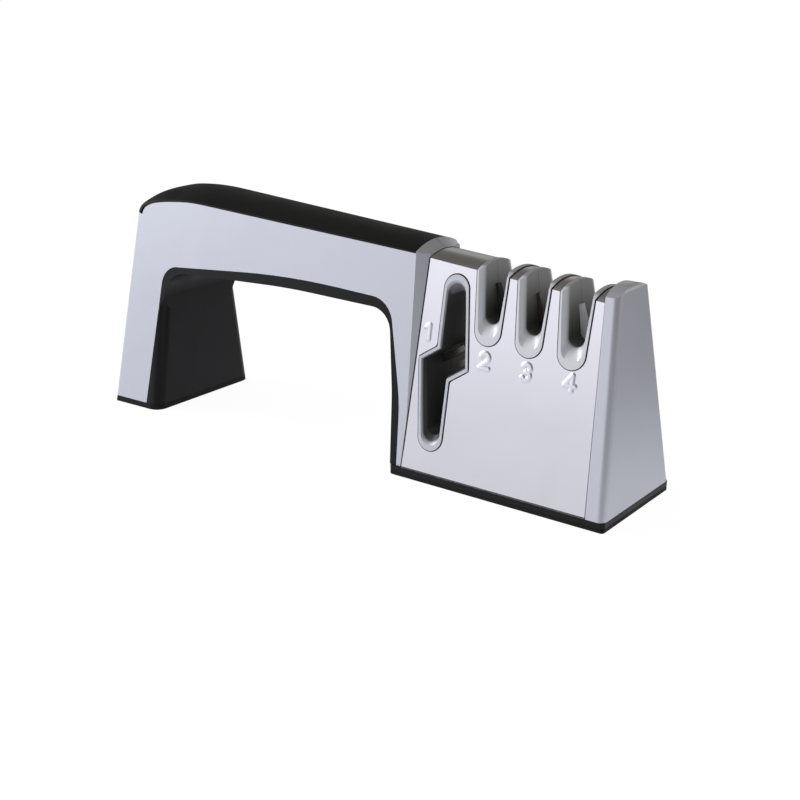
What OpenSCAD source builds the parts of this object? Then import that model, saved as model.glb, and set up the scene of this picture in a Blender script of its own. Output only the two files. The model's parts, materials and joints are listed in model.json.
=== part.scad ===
// Knife sharpener with an arched handle and four slots.
// The leg stands at -X, the sharpening block at +X, and the numbered front face looks along -Y.
// The origin is the middle of the footprint, on the surface that the sharpener stands on.

/* [Overall] */
// Length from the leg's outer foot to the block's far end
overall_l = 209; // [206:1:214]
// Height of the grip's highest point
handle_h = 82.5; // [81:0.5:86]
// Width of the leg at its foot
foot_w = 50; // [48:1:54]
// Width of the block at its base
block_w = 43; // [42:1:46]

/* [Handle] */
// Depth of the leg at its foot, from its outer to its inner face
leg_d = 23; // [21:0.5:26]
// Width of the silver panel at the foot of the leg
leg_panel_w = 16.7; // [15:0.5:18]
// Lean of the leg's outer face, in degrees
leg_lean = 6.2; // [4:0.2:7]
// Lean of the handle's front and rear faces, in degrees
side_lean = 8; // [7:0.25:8.5]
// Fall of the grip's ridge towards the block, in degrees
handle_fall = 4; // [3.8:0.1:4.4]
// Radius of the crown across the grip
grip_r = 26; // [24:0.5:28]
// Thickness of the grip's edge above the shells
grip_edge = 0.6; // [0.4:0.1:1]
// Depth of the bar, from the grip's highest point to the clear arch
bar_h = 28.7; // [27:0.5:30]
// Depth of the dark band under the bar
band_t = 4; // [3.4:0.1:4.6]
// Wall of the handle shells
shell_t = 2.2; // [1.8:0.1:2.6]
// Wall of the dark frame round the arch
frame_t = 2.2; // [1.8:0.1:2.6]
// Radius of the leg's outer upright edges
leg_edge_r = 1.5; // [1:0.25:2.5]

/* [Block] */
// Length of the block with its column, at the base
block_l = 79.7; // [78:0.5:83]
// Drop from the grip's highest point to the cover's ridge beside the collar
cover_drop = 9.6; // [9:0.2:11]
// Lean of the cover's front and rear faces, in degrees
face_lean = 10.9; // [10:0.1:11.2]
// Fall of the cover's ridge towards the end cap, in degrees
cover_fall = 3.75; // [3:0.25:4.5]
// Radius of the crown across the cover
cover_r = 22; // [19:1:26]
// Thickness of the sheet steel
cover_t = 0.6; // [0.5:0.1:0.8]
// Drop from the cover's ridge beside the collar to the end cap's ridge
cap_drop = 1.6; // [1:0.1:2.2]
// Wall of the end cap
cap_t = 2.4; // [1.8:0.2:3]
// Wall of the frame inside the block
insert_t = 2; // [1.6:0.1:2.4]
// Height of the black base
base_h = 3.4; // [3:0.1:4]
// Thickness of the rubber pads
pad_t = 1.4; // [1:0.1:1.8]

/* [Slots] */
// Distance from the collar to the middle of the scissors slot
scissor_in = 11.75; // [11.5:0.05:12]
// Radius of a knife slot's round bottom at the face
slot_r = 4.1; // [3.8:0.1:4.3]
// Opening angle of each side of a knife slot, in degrees
slot_flare = 3.6; // [2:0.2:4.4]
// Depth of the knife slots below the ridge
slot_depth = 23; // [21.5:0.5:24.5]
// Half width of a knife slot's channel behind the mouth
channel_r = 2.9; // [2.7:0.1:3.2]
// Depth of the flared mouths
mouth_d = 1.8; // [1.4:0.1:2.4]
// Rise of the ramp at the bottom of a mouth
ramp_h = 5.5; // [4:0.5:6]
// Width of the light lip round each slot
lip_w = 0.6; // [0.4:0.1:0.8]
// Gap between the lips and the steel cover
lip_gap = 0.25; // [0.15:0.05:0.3]
// Height of the block left below the scissors slot
scissor_low = 8.4; // [7:0.2:10]
// Height of the block left above the scissors slot
scissor_top = 5.9; // [5:0.2:7]
// Radius of the scissors slot's round ends, as a share of the distance between two slots
scissor_share = 0.2675; // [0.25:0.0025:0.275]

/* [Sharpening plates] */
// Thickness of a plate along the slot
plate_t = 1.8; // [1.4:0.1:2.2]
// Width of a plate
plate_w = 4.4; // [3.8:0.1:4.8]
// Length of a plate
plate_l = 15.5; // [14.5:0.5:16]
// Angle of a plate to the upright, in degrees
plate_angle = 16; // [14:1:18]

/* [Fasteners] */
// Diameter of the self-tapping screws
screw_d = 3; // [2.6:0.1:3.2]
// Diameter of their heads
head_d = 5.4; // [4.8:0.1:5.8]

/* [Hidden] */
$fn = 48;

silver = "#c8cbda";
black = "#1b1b1d";
grey = "#8d8f8c";
big = 600;
gap = 0.15;
groove = 0.25;

// Overall places
arch_h = handle_h - bar_h;
cover_h = handle_h - cover_drop;
cap_h = cover_h - cap_drop;
x_leg = -overall_l / 2;
x_end = overall_l / 2;
x_col = x_end - block_l;

// The leaning front and rear faces of the handle: half the width at a place and a height
side_k = tan(side_lean);
foot_half = foot_w / 2;
block_half = block_w / 2;
x_wide = x_leg + leg_d - 1;
rim_inset = 4.9;
rim_foot = x_col + rim_inset;
taper_k = (foot_half - block_half + 0.1) / (rim_foot - x_wide);
function handle_half(x, z) = foot_half - side_k * z - taper_k * (x - x_wide);

// The cover's leaning faces
face_k = tan(face_lean);
function cover_half(z) = block_half - face_k * z + face_k * base_h;
cap_proud = 0.15;
cap_k = face_k - 0.006;
cap_half = block_half + cap_proud;
function cap_half_at(z) = cap_half - cap_k * (z - base_h);

// Lines in the side view, each as the x of a height
leg_k = tan(leg_lean);
rim_k = 0.023;
cover_k = 0.026;
cap_line_foot = x_end - 6.2;
cap_line_k = 0.053;
end_k = 0.075;
function leg_x(z) = x_leg + leg_k * z;
function rim_x(z) = rim_foot - rim_k * (z - base_h);
function cover_x(z) = rim_foot + cover_k * (z - base_h);
function cap_line_x(z) = cap_line_foot - cap_line_k * (z - base_h);
function end_x(z) = x_end - end_k * (z - base_h);

// Small helpers
function unit(v) = v / norm(v);
function turned(v) = [-v[1], v[0]];
function blend(a, b, t) = a + (b - a) * t;
function ease(t) = t <= 0 ? 0 : t >= 1 ? 1 : t * t * (3 - 2 * t);
function bezier(p, t) = pow(1 - t, 3) * p[0] + 3 * t * pow(1 - t, 2) * p[1]
  + 3 * t * t * (1 - t) * p[2] + pow(t, 3) * p[3];

// A rounded corner at b, between the lines from a and to c
function corner(a, b, c, r, n = 8) =
  let (u = unit(a - b), v = unit(c - b), half = acos(u * v) / 2, m = b + unit(u + v) * r / sin(half),
    p = b + u * r / tan(half) - m, q = b + v * r / tan(half) - m)
  [for (i = [0:n]) m + unit(blend(p, q, i / n)) * r];

module everything_beyond(p, n) {
  translate(p)
    rotate([0, acos(n[2] / norm(n)), atan2(n[1], n[0])])
      translate([-big / 2, -big / 2, 0])
        cube([big, big, big / 2]);
}

module across(w = big) {
  rotate([90, 0, 0])
    translate([0, 0, -w / 2])
      linear_extrude(w)
        children();
}

// The ridge of the grip, from the leg's outer face over the corner to the collar
fall_k = tan(handle_fall);
grip_tail = 10.1;
tail_z = handle_h - grip_tail;
below_tail = tail_z - 4;
bend_l = 33;
bend_pull = 8.3;
bend_rise = 11.4;
leg_top = [leg_x(tail_z), tail_z];
bend_end = [leg_top[0] + bend_l, handle_h];
ridge_curve = [leg_top, leg_top + [leg_k * bend_rise, bend_rise],
  bend_end + [-bend_pull, fall_k * bend_pull],
  bend_end];
curve_steps = 14;
bar_steps = 5;
bend = [for (i = [0:curve_steps]) bezier(ridge_curve, i / curve_steps)];
lift = handle_h - max([for (p = bend) p[1]]);
function ridge_z(x) = handle_h + lift - fall_k * (x - bend_end[0]);
rim_top_x = rim_x(ridge_z(x_col));
function bar_point(x) = [x, ridge_z(x)];
ridge = concat([leg_top], [for (i = [1:curve_steps]) bend[i] + [0, lift]],
  [for (i = [1:bar_steps]) bar_point(blend(bend_end[0], rim_top_x, i / bar_steps))]);
ridge_n = len(ridge) - 1;
function ridge_dir(i) = unit(ridge[min(i + 1, ridge_n)] - ridge[max(i - 1, 0)]);
function ridge_up(i) = turned(ridge_dir(i));
tail_drop = 2.15;
settle = 1.57;
function crown_drop(w) = grip_r - sqrt(grip_r * grip_r - w * w);
function settled(i) = ease(i / curve_steps * settle);
function edge_drop(i) = let (p = ridge[i] - 4 * ridge_up(i), w = handle_half(p[0], p[1]))
  blend(tail_drop, crown_drop(w) , settled(i));
function seat_point(i) = ridge[i] - ridge_up(i) * (edge_drop(i) + grip_edge);
seat = [for (i = [0:ridge_n]) seat_point(i)];

// The arch: the dark frame's inner edge, and the silver panels' edge round it
foot_t = 2.1;
leg_in = x_leg + leg_d;
leg_in_rise = 0.6;
arch_r = 9;
span_r = 340;
curb_r = 100;
panel_curb_r = 60;
arch_mid_x = blend(leg_in, x_col, 0.55);
arch_low = [[leg_in, foot_t], [leg_in + leg_in_rise, arch_h - 1.4], [arch_mid_x, arch_h + 0.7],
  [x_col - 5.3, arch_h - 0.5], [x_col - 1.6, arch_h / 2], [x_col, base_h]];
arch_edge = concat([arch_low[0]], corner(arch_low[0], arch_low[1], arch_low[2], arch_r + 1),
  corner(arch_low[1], arch_low[2], arch_low[3], span_r, 6),
  corner(arch_low[2], arch_low[3], arch_low[4], arch_r - 1),
  corner(arch_low[3], arch_low[4], arch_low[5], curb_r, 3), [arch_low[5]]);
panel_low = [[x_leg + leg_panel_w, foot_t], [x_leg + leg_panel_w + 6, arch_h + band_t - 3.7],
  [arch_mid_x, arch_h + band_t + 0.9], [x_col - 5.2, arch_h + band_t - 1.2],
  [x_col + 1.75, arch_h * 0.45], [x_col + 2.6, base_h]];
panel_edge = concat([panel_low[0]], corner(panel_low[0], panel_low[1], panel_low[2], arch_r - 1.5),
  corner(panel_low[1], panel_low[2], panel_low[3], span_r, 6),
  corner(panel_low[2], panel_low[3], panel_low[4], arch_r),
  corner(panel_low[3], panel_low[4], panel_low[5], panel_curb_r, 3), [panel_low[5]]);

function reversed(list) = [for (i = [len(list) - 1:-1:0]) list[i]];

// Cuts away what lies outside the handle's front and rear faces, moved inwards by a distance
module trim_sides(inset = 0) {
  difference() {
    children();
    for (s = [-1, 1])
      everything_beyond([x_wide, s * (foot_half - inset * norm([1, side_k, taper_k])), 0],
        [taper_k, s, side_k]);
  }
}

function path_dir(list, i) = unit(list[min(i + 1, len(list) - 1)] - list[max(i - 1, 0)]);
function moved_path(list, d) = [for (i = [0:len(list) - 1]) list[i] + turned(path_dir(list, i)) * d];
skin_edge = moved_path(arch_edge, frame_t);

// Everything below a round crown whose top line runs through p and falls towards +X, lowered by an inset
module crown(p, fall, r, inset = 0) {
  translate([p[0] - r * sin(fall), 0, p[1] - r * cos(fall)])
    rotate([0, 90 + fall, 0])
      translate([0, 0, -big / 2])
        linear_extrude(big) {
          circle(r - inset, $fn = 96);
          translate([0, -big / 2])
            square(big);
        }
}

// A solid through rings of points, each ring with the same number of points and further along +X
module loft(rings) {
  n = len(rings[0]);
  last = len(rings) - 1;
  sides = [for (i = [0:last - 1], j = [0:n - 1]) each
    let (a = i * n + j, b = i * n + (j + 1) % n) [[a, b + n, a + n], [a, b, b + n]]];
  polyhedron(points = [for (r = rings) each r],
    faces = concat([[for (j = [n - 1:-1:0]) j]], sides, [[for (j = [0:n - 1]) last * n + j]]));
}

// The collar's bevel: planes from its rim to the edge of the steel cover, and a crown on top
rim_top = ridge[ridge_n];
rim_edge_z = rim_top[1] - crown_drop(handle_half(rim_top[0], rim_top[1] - 3));
collar_top = [cover_x(cover_h), cover_h + gap];
collar_edge_z = cover_h - (cover_r - sqrt(cover_r * cover_r - pow(cover_half(cover_h - 1.6), 2)));
rim_corner = [rim_x(rim_edge_z), -handle_half(rim_x(rim_edge_z), rim_edge_z), rim_edge_z];
cover_corner = [cover_x(collar_edge_z), -cover_half(collar_edge_z), collar_edge_z];
bevel_foot = [rim_foot, -block_half, base_h];
bevel_n = cross(cover_corner - rim_corner, bevel_foot - rim_corner) * -1;

module side_bevels() {
  for (s = [0, 1])
    mirror([0, s, 0])
      everything_beyond(bevel_foot, bevel_n);
}

// Side view of the handle's shells, and of the space inside them
module panel_view() {
  polygon(concat([[leg_x(foot_t), foot_t], leg_top], seat,
    [[cover_x(seat[ridge_n][1]), seat[ridge_n][1]], [cover_x(base_h), base_h]], reversed(panel_edge)));
}

open_from = curve_steps - 2;
collar_in_x = rim_x(handle_h) - shell_t;
module hollow_view() {
  polygon(concat([[leg_x(-1) + shell_t, -1], [leg_x(tail_z) + shell_t, tail_z]],
    [for (i = [2:open_from - 1]) seat[i] - ridge_up(i) * shell_t],
    [for (i = [open_from:ridge_n]) seat[i] + ridge_up(i) * grip_r],
    [[collar_in_x, handle_h], [collar_in_x, panel_low[4][1]], [panel_low[5][0] - 0.6, -1]]));
}

// The collar's crown, from the arc of its rim to the arc of the cover's edge
crown_cols = 12;
function arc_ring(p, r, w, low) = concat(
  [for (j = [0:crown_cols]) let (y = w * (2 * j / crown_cols - 1))
    [p[0], y, p[1] - r + sqrt(r * r - y * y)]],
  [[p[0], w, low], [p[0], -w, low]]);
module collar_crown() {
  low = seat[ridge_n][1] - 2;
  loft([arc_ring(rim_top, grip_r, -rim_corner[1] + 1, low),
    arc_ring(collar_top, cover_r, -cover_corner[1] + 1, low)]);
}

// Rounds an upright edge that runs from p to q. The solid lies towards +Y, and towards +X or, for -1, -X
module round_edge(p, q, r, side = 1) {
  v = q - p;
  turn = atan2(v[1], v[0]);
  translate(p - v * 0.1)
    rotate([0, acos(v[2] / norm(v)), turn])
      rotate([0, 0, -turn])
        linear_extrude(norm(v) * 1.3)
          mirror([side < 0 ? 1 : 0, 0])
            difference() {
              translate([-2, -2])
                square(r + 2);
              translate([r, r])
                circle(r);
            }
}

function leg_corner(z) = [leg_x(z), -handle_half(leg_x(z), z), z];
module leg_edges() {
  for (s = [0, 1])
    mirror([0, s, 0])
      round_edge(leg_corner(0), leg_corner(below_tail), leg_edge_r);
}

inner_edge_r = 4;
function inner_x(z) = leg_in + leg_in_rise * (z - foot_t) / (arch_h - 1.4 - foot_t);
function inner_corner(z) = [inner_x(z), -handle_half(inner_x(z), z), z];
module inner_edges() {
  top = inner_corner(arch_h - arch_r - 2);
  for (s = [0, 1])
    mirror([0, s, 0])
      difference() {
        round_edge(inner_corner(0), top, inner_edge_r, -1);
        everything_beyond(top, [-1, 1, 0.6]);
      }
}

// Posts that join the two shells through the frame's web
web_t = 2.4;
post_d = 5.6;
peg_d = 2.6;
leg_post_z = 34;
leg_post_in = 9;
bar_post_up = [12, 11];
post_places = [[leg_x(leg_post_z) + leg_post_in, leg_post_z],
  for (i = [0, 1]) [blend(leg_in, x_col, 0.3 + 0.4 * i), arch_h + bar_post_up[i]]];
module at_posts() {
  for (p = post_places)
    translate([p[0], 0, p[1]])
      rotate([90, 0, 0])
        children();
}

module shell_half() {
  difference() {
    union() {
      difference() {
        trim_sides()
          union() {
            across()
              panel_view();
            collar_crown();
          }
        trim_sides(shell_t)
          across()
            hollow_view();
      }
      trim_sides(shell_t / 2)
        at_posts()
          translate([0, 0, web_t / 2 + 0.05])
            cylinder(h = foot_half, d = post_d);
    }
    side_bevels();
    leg_edges();
    collar_holes();
    translate([-big / 2, -gap / 2, -big / 2])
      cube([big, big, big]);
  }
}

module front_shell() {
  color(silver) {
    shell_half();
    at_posts()
      translate([0, 0, -web_t / 2 - 3])
        cylinder(h = web_t + 6, d = peg_d);
  }
}

module rear_shell() {
  color(silver)
    difference() {
      mirror([0, 1, 0])
        shell_half();
      at_posts()
        translate([0, 0, -web_t / 2 - 4])
          cylinder(h = web_t + 6, d = peg_d + 0.2);
    }
}

// The soft grip: rings of points across the ridge, closed below by the seat
tail_power = 6;
function grip_point(i, j) = let (t = 2 * j / crown_cols - 1, e = ridge[i] - ridge_up(i) * edge_drop(i),
  p = ridge[i] - ridge_up(i) * edge_drop(i) * pow(abs(t), blend(tail_power, 2, settled(i))))
  [p[0], t * handle_half(e[0], e[1]), p[1]];
function seat_corner(i, s) = [seat[i][0], s * handle_half(seat[i][0], seat[i][1]), seat[i][1]];

module top_grip() {
  color(black)
    loft([for (i = [0:ridge_n]) concat([for (j = [0:crown_cols]) grip_point(i, j)],
      [seat_corner(i, 1), seat_corner(i, -1)])]);
}

carrier_t = 1.6;
module grip_carrier() {
  color(black)
    trim_sides(shell_t + gap)
      difference() {
        across()
          polygon(concat([for (i = [open_from:ridge_n]) seat[i]],
            [for (i = [ridge_n:-1:open_from]) seat[i] - ridge_up(i) * carrier_t]));
        everything_beyond([collar_in_x - gap, 0, handle_h], [1, 0, 0]);
      }
}

// The frame that lines the arch, with the web that carries the grip and the bosses for the screws
module frame_view() {
  polygon(concat(arch_edge, reversed(panel_edge)));
}

module leg_hollow_view() {
  translate([x_leg, 0])
    square([leg_d - frame_t, arch_h - arch_r * 1.5]);
}

web_low = 10;
web_col_z = 30;
web_col_x = rim_x(base_h) - 4;
module web_view() {
  difference() {
    polygon(concat([[leg_x(web_low) + shell_t + gap, web_low],
      [leg_x(below_tail) + shell_t + gap, below_tail]],
      [for (i = [2:open_from - 1]) seat[i] - ridge_up(i) * (shell_t + gap)],
      [for (i = [open_from:ridge_n]) seat[i] - ridge_up(i) * carrier_t],
      [[web_col_x, web_col_z]], reversed(moved_path(arch_edge, frame_t / 2)),
      [[leg_in - frame_t / 2, web_low]]));
    translate([collar_in_x - gap, 0])
      square(big);
  }
}

leg_screw_y = 9;
leg_boss_x = leg_in - frame_t - 3.4;
boss_d = 7;
screw_l = 12;
head_h = 1.8;
leg_base_t = 2.4;
leg_base_x = leg_x(foot_t + leg_base_t) + shell_t + gap;
collar_screw_y = 4.6;
collar_screw_z = arch_h + 8.4;
collar_boss_l = 10;
collar_seat_x = collar_in_x - gap - collar_boss_l;

module arch_frame() {
  color(black)
    difference() {
      union() {
        difference() {
          trim_sides(0.1)
            across()
              frame_view();
          trim_sides(shell_t + 0.05)
            across()
              leg_hollow_view();
        }
        trim_sides(shell_t + 0.05)
          across()
            polygon(concat(arch_edge, reversed(skin_edge)));
        across(web_t)
          web_view();
        for (s = [-1, 1]) {
          translate([leg_boss_x, s * leg_screw_y, foot_t + leg_base_t + 0.05])
            cylinder(h = screw_l, d = boss_d);
          translate([collar_seat_x, s * collar_screw_y, collar_screw_z])
            rotate([0, 90, 0])
              cylinder(h = collar_boss_l, d = boss_d);
        }
      }
      leg_screw_holes();
      collar_holes();
      at_posts()
        cylinder(h = web_t + 2, d = peg_d + 0.4, center = true);
      inner_edges();
    }
}

// A screw from below: its head, its shank, and a crossed recess in the head. It points along +Z.
recess_w = 0.8;
recess_l = 3;
module screw(l) {
  difference() {
    union() {
      cylinder(h = head_h, d = head_d);
      cylinder(h = head_h + l, d = screw_d);
    }
    for (turn = [0, 90])
      rotate([0, 0, turn])
        translate([-recess_l / 2, -recess_w / 2, -1])
          cube([recess_l, recess_w, 2]);
  }
}

module at_leg_screws() {
  for (s = [-1, 1])
    translate([leg_boss_x, s * leg_screw_y, foot_t])
      children();
}

module leg_screws() {
  color("silver")
    at_leg_screws()
      screw(screw_l - 2);
}

module leg_screw_holes() {
  at_leg_screws()
    cylinder(h = head_h + screw_l - 2, d = screw_d);
}

module leg_base() {
  color(black)
    difference() {
      trim_sides(shell_t + gap)
        across()
          polygon([[leg_base_x, foot_t], [leg_base_x, foot_t + leg_base_t],
            [leg_in - frame_t - gap, foot_t + leg_base_t], [leg_in - frame_t - gap, foot_t]]);
      at_leg_screws() {
        translate([0, 0, -1])
          cylinder(h = head_h + 1, d = head_d + 2 * gap);
        cylinder(h = big, d = screw_d + 2 * gap);
      }
    }
}

module foot_pad() {
  color(black)
    difference() {
      trim_sides()
        across()
          polygon([[leg_x(0), 0], [leg_x(foot_t), foot_t], [leg_in, foot_t], [leg_in, 0]]);
      leg_edges();
      inner_edges();
    }
}

// The collar's screws, which run from the frame through the collar into the block
collar_hold = 7;
collar_screw_l = cover_x(collar_screw_z) + gap + collar_hold - collar_seat_x;
module at_collar_screws() {
  for (s = [-1, 1])
    translate([collar_seat_x - head_h, s * collar_screw_y, collar_screw_z])
      rotate([0, 90, 0])
        children();
}

module collar_screws() {
  color("silver")
    at_collar_screws()
      screw(collar_screw_l);
}

module collar_holes() {
  at_collar_screws()
    cylinder(h = head_h + collar_screw_l, d = screw_d);
}

// Places in the block: the knife slots and the scissors slot
slot_last = 18.2;
slot_tilt = 2;
channel_flare = 5.5;
cover_fall_k = tan(cover_fall);
scissor_x = rim_foot + scissor_in;
slot_pitch = (x_end - slot_last - scissor_x) / 3;
function cover_ridge_z(x) = cover_h - cover_fall_k * (x - cover_x(cover_h));
function slot_x(i) = x_end - slot_last - (2 - i) * slot_pitch;
function slot_z(i) = cover_ridge_z(slot_x(i)) - slot_depth + slot_r;
scissor_r = scissor_share * slot_pitch;
scissor_h = (cover_h - base_h - scissor_low - scissor_top) / 2 - scissor_r;
scissor_z = base_h + scissor_low + scissor_h + scissor_r;
step_angle = 33.3;
step_k = tan(step_angle);
lobe_step = 0.5953 * slot_pitch;
lobe_mid = 0.1137 * slot_pitch;
floor_t = 3.2;
stage_z = slot_z(2) - slot_r - floor_t;

// The line between the scissors inserts and the knife inserts, and the inner frame's side below it
split_low = scissor_x + lobe_step + gap;
split_in = 2;
split_high = slot_x(0) - slot_r - lip_w - split_in;
split_foot = split_low + lip_w;
function split_x(z) = blend(split_low, split_high, (z - stage_z) / (cover_h - stage_z));

// The black base below the block and the column
base_r = 1.2;
base_corners = [[x_col, -block_half], [x_end, -block_half], [x_end, block_half], [x_col, block_half]];
function base_outline(inset) =
  let (p = [for (c = base_corners) c - [sign(c[0] - x_col - 1), sign(c[1])] * inset])
  [for (i = [0:3]) each corner(p[(i + 3) % 4], p[i], p[(i + 1) % 4], base_r, 4)];

base_screw_x = [split_foot - boss_d / 2 - 0.7, x_end - 2 * boss_d];
base_screw_y = 10.5;
tray_boss_h = 3.2;
tray_boss_d = 7;
module at_base_screws() {
  for (x = base_screw_x, s = [-1, 1])
    translate([x, s * base_screw_y, pad_t])
      children();
}

module base_pad() {
  color(black)
    linear_extrude(pad_t)
      polygon(base_outline(0));
}

module base_tray() {
  color(black)
    difference() {
      union() {
        translate([0, 0, pad_t])
          linear_extrude(base_h - pad_t)
            polygon(base_outline(0));
        at_base_screws()
          cylinder(h = base_h - pad_t + tray_boss_h, d = tray_boss_d);
      }
      at_base_screws() {
        translate([0, 0, -1])
          cylinder(h = head_h + 1, d = head_d + 2 * gap);
        cylinder(h = big, d = screw_d + 2 * gap);
      }
    }
}

base_screw_l = 14;
module base_screws() {
  color("silver")
    at_base_screws()
      screw(base_screw_l);
}

module at_slot(i) {
  translate([slot_x(i), 0, slot_z(i)])
    rotate([0, -slot_tilt, 0])
      children();
}

slot_up = 40;
module slot_shape(r, flare, up = 0) {
  translate([0, up])
    circle(r);
  out = r + tan(flare) * slot_up;
  polygon([[-r, up], [-out, up + slot_up], [out, up + slot_up], [r, up]]);
}

channel_up = ramp_h + channel_r - slot_r;
module mouth_shape(grow = 0) {
  slot_shape(slot_r + grow, slot_flare);
}

module channel_shape(grow = 0) {
  slot_shape(channel_r + grow, channel_flare, channel_up);
}

// Half of the scissors slot; the other half is the same, turned about the slot's middle
lobe_in = scissor_r - lobe_mid;
lobe_out = scissor_r + lobe_mid;
function step_z(x, grow) = -0.4 - step_k * (lobe_step - x) - grow / cos(step_angle);
module lobe_shape(grow = 0, down = 0) {
  translate([lobe_mid, scissor_h - down])
    circle(scissor_r + grow);
  polygon([[-lobe_in - grow, scissor_h - down], [lobe_out + grow, scissor_h - down],
    [lobe_step + grow, step_z(lobe_step + grow, grow)],
    [-lobe_in - grow, step_z(-lobe_in - grow, grow)]]);
}

module scissor_shape(grow = 0, down = 0) {
  for (turn = [0, 180])
    rotate(turn)
      lobe_shape(grow, down);
}

module at_scissor_slot() {
  translate([scissor_x, 0, scissor_z])
    children();
}

// The block's outline, moved inwards by a distance, between two leaning ends
module block_solid(inset = 0, left = 0, right = 0, foot = 0) {
  intersection() {
    difference() {
      across()
        polygon([[cover_x(base_h) + left, base_h + foot], [cover_x(handle_h) + left, handle_h],
          [cap_line_x(handle_h) - right, handle_h], [cap_line_x(base_h) - right, base_h + foot]]);
      for (s = [-1, 1])
        everything_beyond([0, s * (block_half - inset / cos(face_lean)), base_h], [0, s, face_k]);
    }
    crown([cover_x(cover_h), cover_h], cover_fall, cover_r, inset);
  }
}

module all_mouths(grow = 0) {
  for (i = [0:2])
    at_slot(i)
      across()
        mouth_shape(grow);
  at_scissor_slot()
    across()
      scissor_shape(grow);
}

cover_over = 5;
module steel_cover() {
  color("silver")
    difference() {
      block_solid(0, groove, groove);
      block_solid(cover_t, -cover_over, -cover_over, -cover_over);
      all_mouths(lip_w + lip_gap);
    }
}

// A thin slab that leans with the front face, some way behind it
module face_slab(depth) {
  translate([0, -block_half, base_h])
    rotate([-face_lean, 0, 0])
      translate([-big / 2, depth, -handle_h / 4])
        cube([big, 0.02, 2 * handle_h]);
}

module flared(depth) {
  hull() {
    intersection() {
      face_slab(-1.2);
      children(0);
    }
    intersection() {
      face_slab(depth);
      children(1);
    }
  }
}

ramp_low = 4;
narrow = 1.1;
module front_mouths() {
  for (i = [0:2])
    flared(mouth_d) {
      at_slot(i)
        across()
          mouth_shape();
      at_slot(i)
        across()
          channel_shape();
    }
  for (turn = [0, 180])
    flared(mouth_d) {
      at_scissor_slot()
        across()
          rotate(turn)
            lobe_shape();
      at_scissor_slot()
        across()
          rotate(turn)
            lobe_shape(-narrow, ramp_low - narrow);
    }
}

module channels() {
  for (i = [0:2])
    at_slot(i)
      across()
        channel_shape();
  at_scissor_slot()
    across()
      scissor_shape(-narrow, ramp_low - narrow);
}

// The sharpening plates. Each knife slot has a left plate before the middle and a right one behind it
plate_low = 5.5;
edge_rise = 1.6;
module at_plates(i, side) {
  at_slot(i)
    mirror([side > 0 ? 1 : 0, 0, 0])
      translate([0, side < 0 ? -plate_t - gap : gap, channel_up - channel_r + edge_rise])
        rotate([0, -plate_angle, 0])
          translate([-plate_w, 0, -plate_low])
            children();
}

module plate(i, side) {
  at_plates(i, side)
    cube([plate_w, plate_t, plate_l]);
}

module plate_pocket(i, side) {
  at_plates(i, side)
    translate([-0.1, -0.1, -0.1])
      cube([plate_w + 0.2, plate_t + 0.2, plate_l + 0.2]);
}

module diamond_plate_left() {
  color("dimgray")
    plate(0, -1);
}

module diamond_plate_right() {
  color("dimgray")
    plate(0, 1);
}

module carbide_plate_left() {
  color("slategray")
    plate(1, -1);
}

module carbide_plate_right() {
  color("slategray")
    plate(1, 1);
}

module ceramic_plate_left() {
  color("white")
    plate(2, -1);
}

module ceramic_plate_right() {
  color("white")
    plate(2, 1);
}

// The two flat plates beside the scissors slot's step
flat_w = 8;
flat_t = 1.7;
flat_l = 11.5;
flat_up = 2.3;
module at_flat(turn) {
  at_scissor_slot()
    rotate([0, turn, 0])
      translate([lobe_step + 1.4, 0, step_z(lobe_step + 1.4, 0)])
        rotate([0, -step_angle, 0])
          translate([-flat_l, -flat_w / 2, flat_up])
            children();
}

module flat_plate(turn) {
  color("slategray")
    at_flat(turn)
      cube([flat_l, flat_w, flat_t]);
}

module scissor_plate_upper() {
  flat_plate(0);
}

module scissor_plate_lower() {
  flat_plate(180);
}

module flat_pocket(turn) {
  at_flat(turn)
    translate([-0.1, -0.1, -0.1])
      cube([flat_l + 0.2, flat_w + 0.2, flat_t + 0.2]);
}

module flat_step(turn) {
  at_flat(turn)
    translate([2, 0.6, -flat_up - 1])
      cube([flat_l - 2, flat_w - 1.2, flat_up + 1]);
}

// The inserts fill the block behind the cover: a pair round the scissors slot, a pair round the knife slots
wall_gap = cover_t + 0.1;
insert_screw_l = 14;
insert_head_y = 6.5;
insert_screw_z = stage_z + 4.5;
module at_insert_screws() {
  for (i = [0, 1])
    translate([blend(slot_x(i), slot_x(i + 1), 0.5), -insert_head_y - head_h, insert_screw_z])
      rotate([-90, 0, 0])
        children();
}

module insert_screws() {
  color("silver")
    at_insert_screws()
      screw(insert_screw_l);
}

// The scissors inserts have two pegs that line up their halves
pin_d = 3;
pin_l = 4;
pin_up = 14;
pin_places = [[rim_foot + 5.5, scissor_z + pin_up], [split_foot - 4.5, scissor_z - pin_up]];
module at_pins() {
  for (p = pin_places)
    translate([p[0], 0, p[1]])
      rotate([-90, 0, 0])
        children();
}

module block_core() {
  difference() {
    union() {
      block_solid(wall_gap, gap, gap);
      intersection() {
        block_solid(-0.3, gap, gap);
        all_mouths(lip_w);
      }
    }
    channels();
    at_base_screws()
      cylinder(h = base_h - pad_t + tray_boss_h + gap, d = tray_boss_d + 1);
    at_base_screws()
      cylinder(h = head_h + base_screw_l, d = screw_d);
    collar_holes();
    cap_peg_holes();
  }
}

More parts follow.
